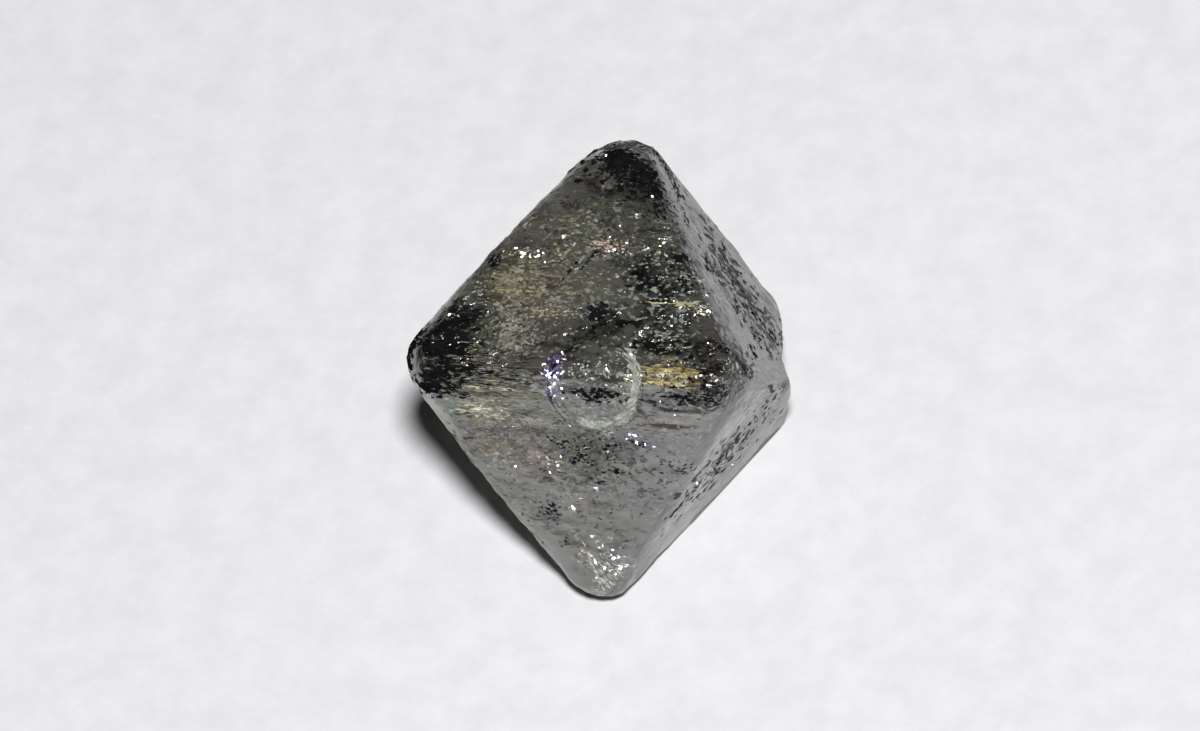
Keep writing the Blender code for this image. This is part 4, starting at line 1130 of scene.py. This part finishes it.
# Painted shade: the pits' floors are darkened to this tone, where the bump sinks them.
PIT_SHADE_TONE = (0.25, 0.25, 0.24)
PIT_DEPTH = 0.000015
GRAIN_NOISE = (14.0, 4.0)
GRAIN_STRENGTH = 0.6
GRAIN_DEPTH = 0.000008
COLOUR_DETAIL = 3.0                    # of the clouds in flecks and films
CLOUD_STOPS = (0.35, 0.65)             # of the clouds in marks and paper
MARK_NOISE = (9000.0, 3.0)             # scale per metre, as for all that follow, and detail
MARK_SHADE = (0.6, 0.6, 0.6)
MARK_ROUGHNESS = 0.8
FLECK_CLOUD_SCALE = 3000.0
FLECK_STOPS = ((0.35, (0.006, 0.006, 0.006)), (0.75, (0.030, 0.018, 0.012)))
FLECK_ROUGHNESS = 0.6
PAPER_WHITE = (0.855, 0.855, 0.875)
PAPER_SHADE = (0.79, 0.79, 0.812)
PAPER_CLOUD_NOISE = (2200.0, 4.0, 0.65)
PAPER_TOOTH_NOISE = (5000.0, 4.0)
PAPER_TOOTH_DEPTH = 0.00001
PAPER_TOOTH_STRENGTH = 0.5
PAPER_ROUGHNESS = 0.9

# Films: their clouds' scale, their roughness, and their colours.
SILVER_FILM = (2200.0, 0.08, ((0.30, (0.72, 0.62, 0.95)), (0.45, (0.92, 0.92, 0.94)),
                              (0.58, (0.92, 0.92, 0.94)), (0.66, (0.95, 0.76, 0.42)),
                              (0.75, (0.62, 0.90, 0.72))))
VIOLET_FILM = (2200.0, 0.08, ((0.35, (0.30, 0.20, 0.80)), (0.48, (0.80, 0.75, 1.00)),
                              (0.62, (0.40, 0.26, 0.90))))
GOLD_FILM = (5000.0, 0.50, ((0.35, (0.40, 0.29, 0.12)), (0.50, (0.80, 0.64, 0.30)),
                            (0.65, (0.95, 0.90, 0.65))))
GREY_FILM = (3000.0, 0.55, ((0.35, (0.30, 0.32, 0.26)), (0.48, (0.55, 0.62, 0.52)),
                            (0.58, (0.72, 0.70, 0.66)), (0.68, (0.75, 0.68, 0.45))))


def new_material(name):
    """A node material with its Principled shader."""
    material = bpy.data.materials.new(name)
    material.use_nodes = True
    return material, material.node_tree, material.node_tree.nodes["Principled BSDF"]


def colour_socket(sockets, name):
    """A mix node's colour socket: it has sockets of several types under each name."""
    return next(socket for socket in sockets if socket.name == name and socket.type == "RGBA")


def object_place(tree):
    """Coordinates in metres."""
    return tree.nodes.new("ShaderNodeTexCoord").outputs["Object"]


def noise_texture(tree, place, scale, detail, roughness=0.5):
    """Noise over the given coordinates."""
    texture = tree.nodes.new("ShaderNodeTexNoise")
    texture.inputs["Scale"].default_value = scale
    texture.inputs["Detail"].default_value = detail
    texture.inputs["Roughness"].default_value = roughness
    tree.links.new(place, texture.inputs["Vector"])
    return texture.outputs["Fac"]


def attribute(tree, name):
    """A mesh attribute."""
    node = tree.nodes.new("ShaderNodeAttribute")
    node.attribute_name = name
    return node.outputs


def bumped(tree, height, depth, strength, normal=None):
    """A normal bumped by a height; the strength is a number or another node's output."""
    bump = tree.nodes.new("ShaderNodeBump")
    bump.inputs["Distance"].default_value = depth
    if isinstance(strength, float):
        bump.inputs["Strength"].default_value = strength
    else:
        tree.links.new(strength, bump.inputs["Strength"])
    tree.links.new(height, bump.inputs["Height"])
    if normal:
        tree.links.new(normal, bump.inputs["Normal"])
    return bump.outputs["Normal"]


def multiplied(tree, colour, other, factor=None):
    """One colour multiplied by another, wholly or as far as the factor says."""
    mix = tree.nodes.new("ShaderNodeMix")
    mix.data_type = "RGBA"
    mix.blend_type = "MULTIPLY"
    if factor:
        tree.links.new(factor, mix.inputs["Factor"])
    else:
        mix.inputs["Factor"].default_value = 1.0
    tree.links.new(colour, colour_socket(mix.inputs, "A"))
    tree.links.new(other, colour_socket(mix.inputs, "B"))
    return colour_socket(mix.outputs, "Result")


def ramp_over(tree, factor, positions, *colours):
    """A ramp through the colours, each at its position."""
    ramp = tree.nodes.new("ShaderNodeValToRGB")
    while len(ramp.color_ramp.elements) < len(colours):
        ramp.color_ramp.elements.new(1.0)
    for element, position, colour in zip(ramp.color_ramp.elements, positions, colours):
        element.position = position
        element.color = (*colour, 1)
    tree.links.new(factor, ramp.inputs["Fac"])
    return ramp.outputs["Color"]


def diamond_material():
    """Clear diamond: stained, speckled, etched and lined where the crystal's attributes say, its tint
    holding painted shade and a painted reflection, and its pits' floors and growth lines darkened as
    painted shade.
    """
    material, tree, shader = new_material("clear_diamond")
    tint = attribute(tree, "tint")
    lay = attribute(tree, "lay")["Vector"]
    line_lay = attribute(tree, "line_lay")["Vector"]
    lined = attribute(tree, "lined")["Fac"]
    specks = noise_texture(tree, lay, *SPECK_NOISE)
    speck_colour = ramp_over(tree, specks, SPECK_STOPS, SPECK_TONE, WHITE)
    lines = noise_texture(tree, line_lay, *LINE_NOISE)
    line_shade = ramp_over(tree, lines, LINE_STOPS, LINE_SHADE_TONE, WHITE)
    pits = noise_texture(tree, lay, *PIT_NOISE)
    pit_shade = ramp_over(tree, pits, PIT_STOPS, WHITE, PIT_SHADE_TONE)
    colour = multiplied(tree, tint["Color"], speck_colour, tint["Alpha"])
    colour = multiplied(tree, colour, pit_shade, tint["Alpha"])
    tree.links.new(multiplied(tree, colour, line_shade, lined), shader.inputs["Base Color"])
    grain = noise_texture(tree, lay, *GRAIN_NOISE)
    normal = bumped(tree, grain, GRAIN_DEPTH, GRAIN_STRENGTH)
    pit_shape = ramp_over(tree, pits, PIT_STOPS, WHITE, BLACK)
    normal = bumped(tree, pit_shape, PIT_DEPTH, attribute(tree, "pitted")["Fac"], normal)
    tree.links.new(bumped(tree, lines, LINE_BUMP, lined, normal), shader.inputs["Normal"])
    shader.inputs["Transmission Weight"].default_value = DIAMOND_TRANSMISSION
    shader.inputs["IOR"].default_value = DIAMOND_IOR
    shader.inputs["Roughness"].default_value = DIAMOND_ROUGHNESS
    absorption = tree.nodes.new("ShaderNodeVolumeAbsorption")
    absorption.inputs["Color"].default_value = (*DIAMOND_ABSORPTION, 1)
    absorption.inputs["Density"].default_value = DIAMOND_DENSITY
    tree.links.new(absorption.outputs["Volume"], tree.nodes["Material Output"].inputs["Volume"])
    return material


def fleck_material():
    """Dull black graphite with a brown cast here and there."""
    material, tree, shader = new_material("graphite_flecks")
    add_colours(tree, shader, FLECK_CLOUD_SCALE, FLECK_STOPS)
    shader.inputs["Roughness"].default_value = FLECK_ROUGHNESS
    return material


def mark_material():
    """Matte marks: each its own tone, mottled."""
    material, tree, shader = new_material("matte_marks")
    tone = attribute(tree, "tone")["Color"]
    cloud = noise_texture(tree, object_place(tree), *MARK_NOISE)
    shade = ramp_over(tree, cloud, CLOUD_STOPS, MARK_SHADE, WHITE)
    tree.links.new(multiplied(tree, tone, shade), shader.inputs["Base Color"])
    shader.inputs["Roughness"].default_value = MARK_ROUGHNESS
    shader.inputs["Specular IOR Level"].default_value = 0.0
    return material


def film_material(name, scale, roughness, stops):
    """A thin metallic film with clouded colours."""
    material, tree, shader = new_material(name)
    add_colours(tree, shader, scale, stops)
    shader.inputs["Metallic"].default_value = 1.0
    shader.inputs["Roughness"].default_value = roughness
    return material


def add_colours(tree, shader, scale, stops):
    """Drives the base colour by a ramp over smooth noise."""
    positions, colours = zip(*stops)
    cloud = noise_texture(tree, object_place(tree), scale, COLOUR_DETAIL)
    tree.links.new(ramp_over(tree, cloud, positions, *colours), shader.inputs["Base Color"])


def paper_material():
    """White paper: faintly mottled, with a fine tooth."""
    material, tree, shader = new_material("paper")
    place = object_place(tree)
    cloud = noise_texture(tree, place, *PAPER_CLOUD_NOISE)
    mottle = ramp_over(tree, cloud, CLOUD_STOPS, PAPER_SHADE, PAPER_WHITE)
    tree.links.new(mottle, shader.inputs["Base Color"])
    tooth = noise_texture(tree, place, *PAPER_TOOTH_NOISE)
    tree.links.new(bumped(tree, tooth, PAPER_TOOTH_DEPTH, PAPER_TOOTH_STRENGTH), shader.inputs["Normal"])
    shader.inputs["Roughness"].default_value = PAPER_ROUGHNESS
    return material


# ---- Camera, light and floor ----

VIEW_AZIMUTH = 25.6                    # degrees, as the photo's camera stands
VIEW_ELEVATION = 54.8
VIEW_ROLL = 17.6
VIEW_DISTANCE = 150.0
PHOTO_PIXELS = (1200, 731)
PIXELS_PER_MM = 92.3
CENTRE_PIXEL = (612.2, 365.6)          # where the crystal's centre is in the photo
FLASH_SIZE = 20.0
FLASH_DISTANCE = 160.0
FLASH_WATTS = 0.285
FLASH_TOWARDS = (5, 58, 329)           # right, up and back along the camera's own axes
ROOM_LIGHT = 0.006
PAPER_SIZE = 400                       # side of the sheet


def camera_axes():
    """The camera's right, up and back directions in the part's frame."""
    azimuth, elevation, roll = radians(VIEW_AZIMUTH), radians(VIEW_ELEVATION), radians(VIEW_ROLL)
    back = Vector((sin(azimuth) * cos(elevation), -cos(azimuth) * cos(elevation), sin(elevation)))
    level = Vector((cos(azimuth), sin(azimuth), 0))
    upright = back.cross(level)
    return level * cos(roll) - upright * sin(roll), level * sin(roll) + upright * cos(roll), back


def flash_direction():
    """From the crystal to the flash, in the part's frame."""
    towards = sum((axis * amount for axis, amount in zip(camera_axes(), FLASH_TOWARDS)), Vector())
    return towards.normalized()


def make_camera(centre):
    """The camera, framed as the photo is."""
    right, up, back = camera_axes()
    shift_right = (CENTRE_PIXEL[0] - PHOTO_PIXELS[0] / 2) / PIXELS_PER_MM * METRES
    shift_down = (CENTRE_PIXEL[1] - PHOTO_PIXELS[1] / 2) / PIXELS_PER_MM * METRES
    target = centre - right * shift_right + up * shift_down
    data = bpy.data.cameras.new("camera")
    data.lens = data.sensor_width * VIEW_DISTANCE * PIXELS_PER_MM / PHOTO_PIXELS[0]
    data.clip_start = 0.001
    camera = bpy.data.objects.new("camera", data)
    bpy.context.scene.collection.objects.link(camera)
    turn = Matrix((right, up, back)).transposed().to_4x4()
    camera.matrix_world = Matrix.Translation(target + back * VIEW_DISTANCE * METRES) @ turn
    bpy.context.scene.camera = camera


def make_lights(centre):
    """One flash just above the camera, and a dim room."""
    towards = flash_direction()
    data = bpy.data.lights.new("flash", "AREA")
    data.shape = "DISK"
    data.size = FLASH_SIZE * METRES
    data.energy = FLASH_WATTS
    flash = bpy.data.objects.new("flash", data)
    bpy.context.scene.collection.objects.link(flash)
    turn = towards.to_track_quat("Z", "Y").to_matrix().to_4x4()
    flash.matrix_world = Matrix.Translation(centre + towards * FLASH_DISTANCE * METRES) @ turn
    world = bpy.data.worlds.new("room")
    world.use_nodes = True
    world.node_tree.nodes["Background"].inputs["Color"].default_value = (1, 1, 1, 1)
    world.node_tree.nodes["Background"].inputs["Strength"].default_value = ROOM_LIGHT
    bpy.context.scene.world = world


def make_floor():
    """A sheet of white paper under the crystal."""
    half = PAPER_SIZE / 2 * METRES
    corners = np.array([(-half, -half, 0), (half, -half, 0), (half, half, 0), (-half, half, 0)])
    floor = new_object("paper_floor", corners, [(0, 1, 2, 3)], paper_material())


# ---- Putting it together ----

bpy.context.scene.view_settings.view_transform = "Standard"
crystal_centre = Vector((0, 0, FACE_HEIGHT * METRES))
crystal = make_crystal(diamond_material())
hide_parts("diamond_crystal")
silver = film_material("silver_film", *SILVER_FILM)
small_cracks = make_cracks("small_cracks", ZONES, 13, silver)
violet = film_material("violet_film", *VIOLET_FILM)
violet_cracks = make_cracks("violet_cracks", VIOLET_ZONES, 15, violet)
gold_films = make_films("gold_films", GOLD_FILMS, 17, film_material("gold_film", *GOLD_FILM))
grey_films = make_films("grey_films", GREY_FILMS, 19, film_material("grey_film", *GREY_FILM))
glints = make_glints("small_glints", ZONES, 27, silver)
violet_glints = make_glints("violet_glints", VIOLET_ZONES, 29, violet)
marks = make_marks(mark_material())
for piece in (crystal, make_flecks(fleck_material()), small_cracks, violet_cracks, gold_films,
              grey_films, glints, violet_glints, marks):
    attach(piece, "root")
make_camera(crystal_centre)
make_lights(crystal_centre)
make_floor()
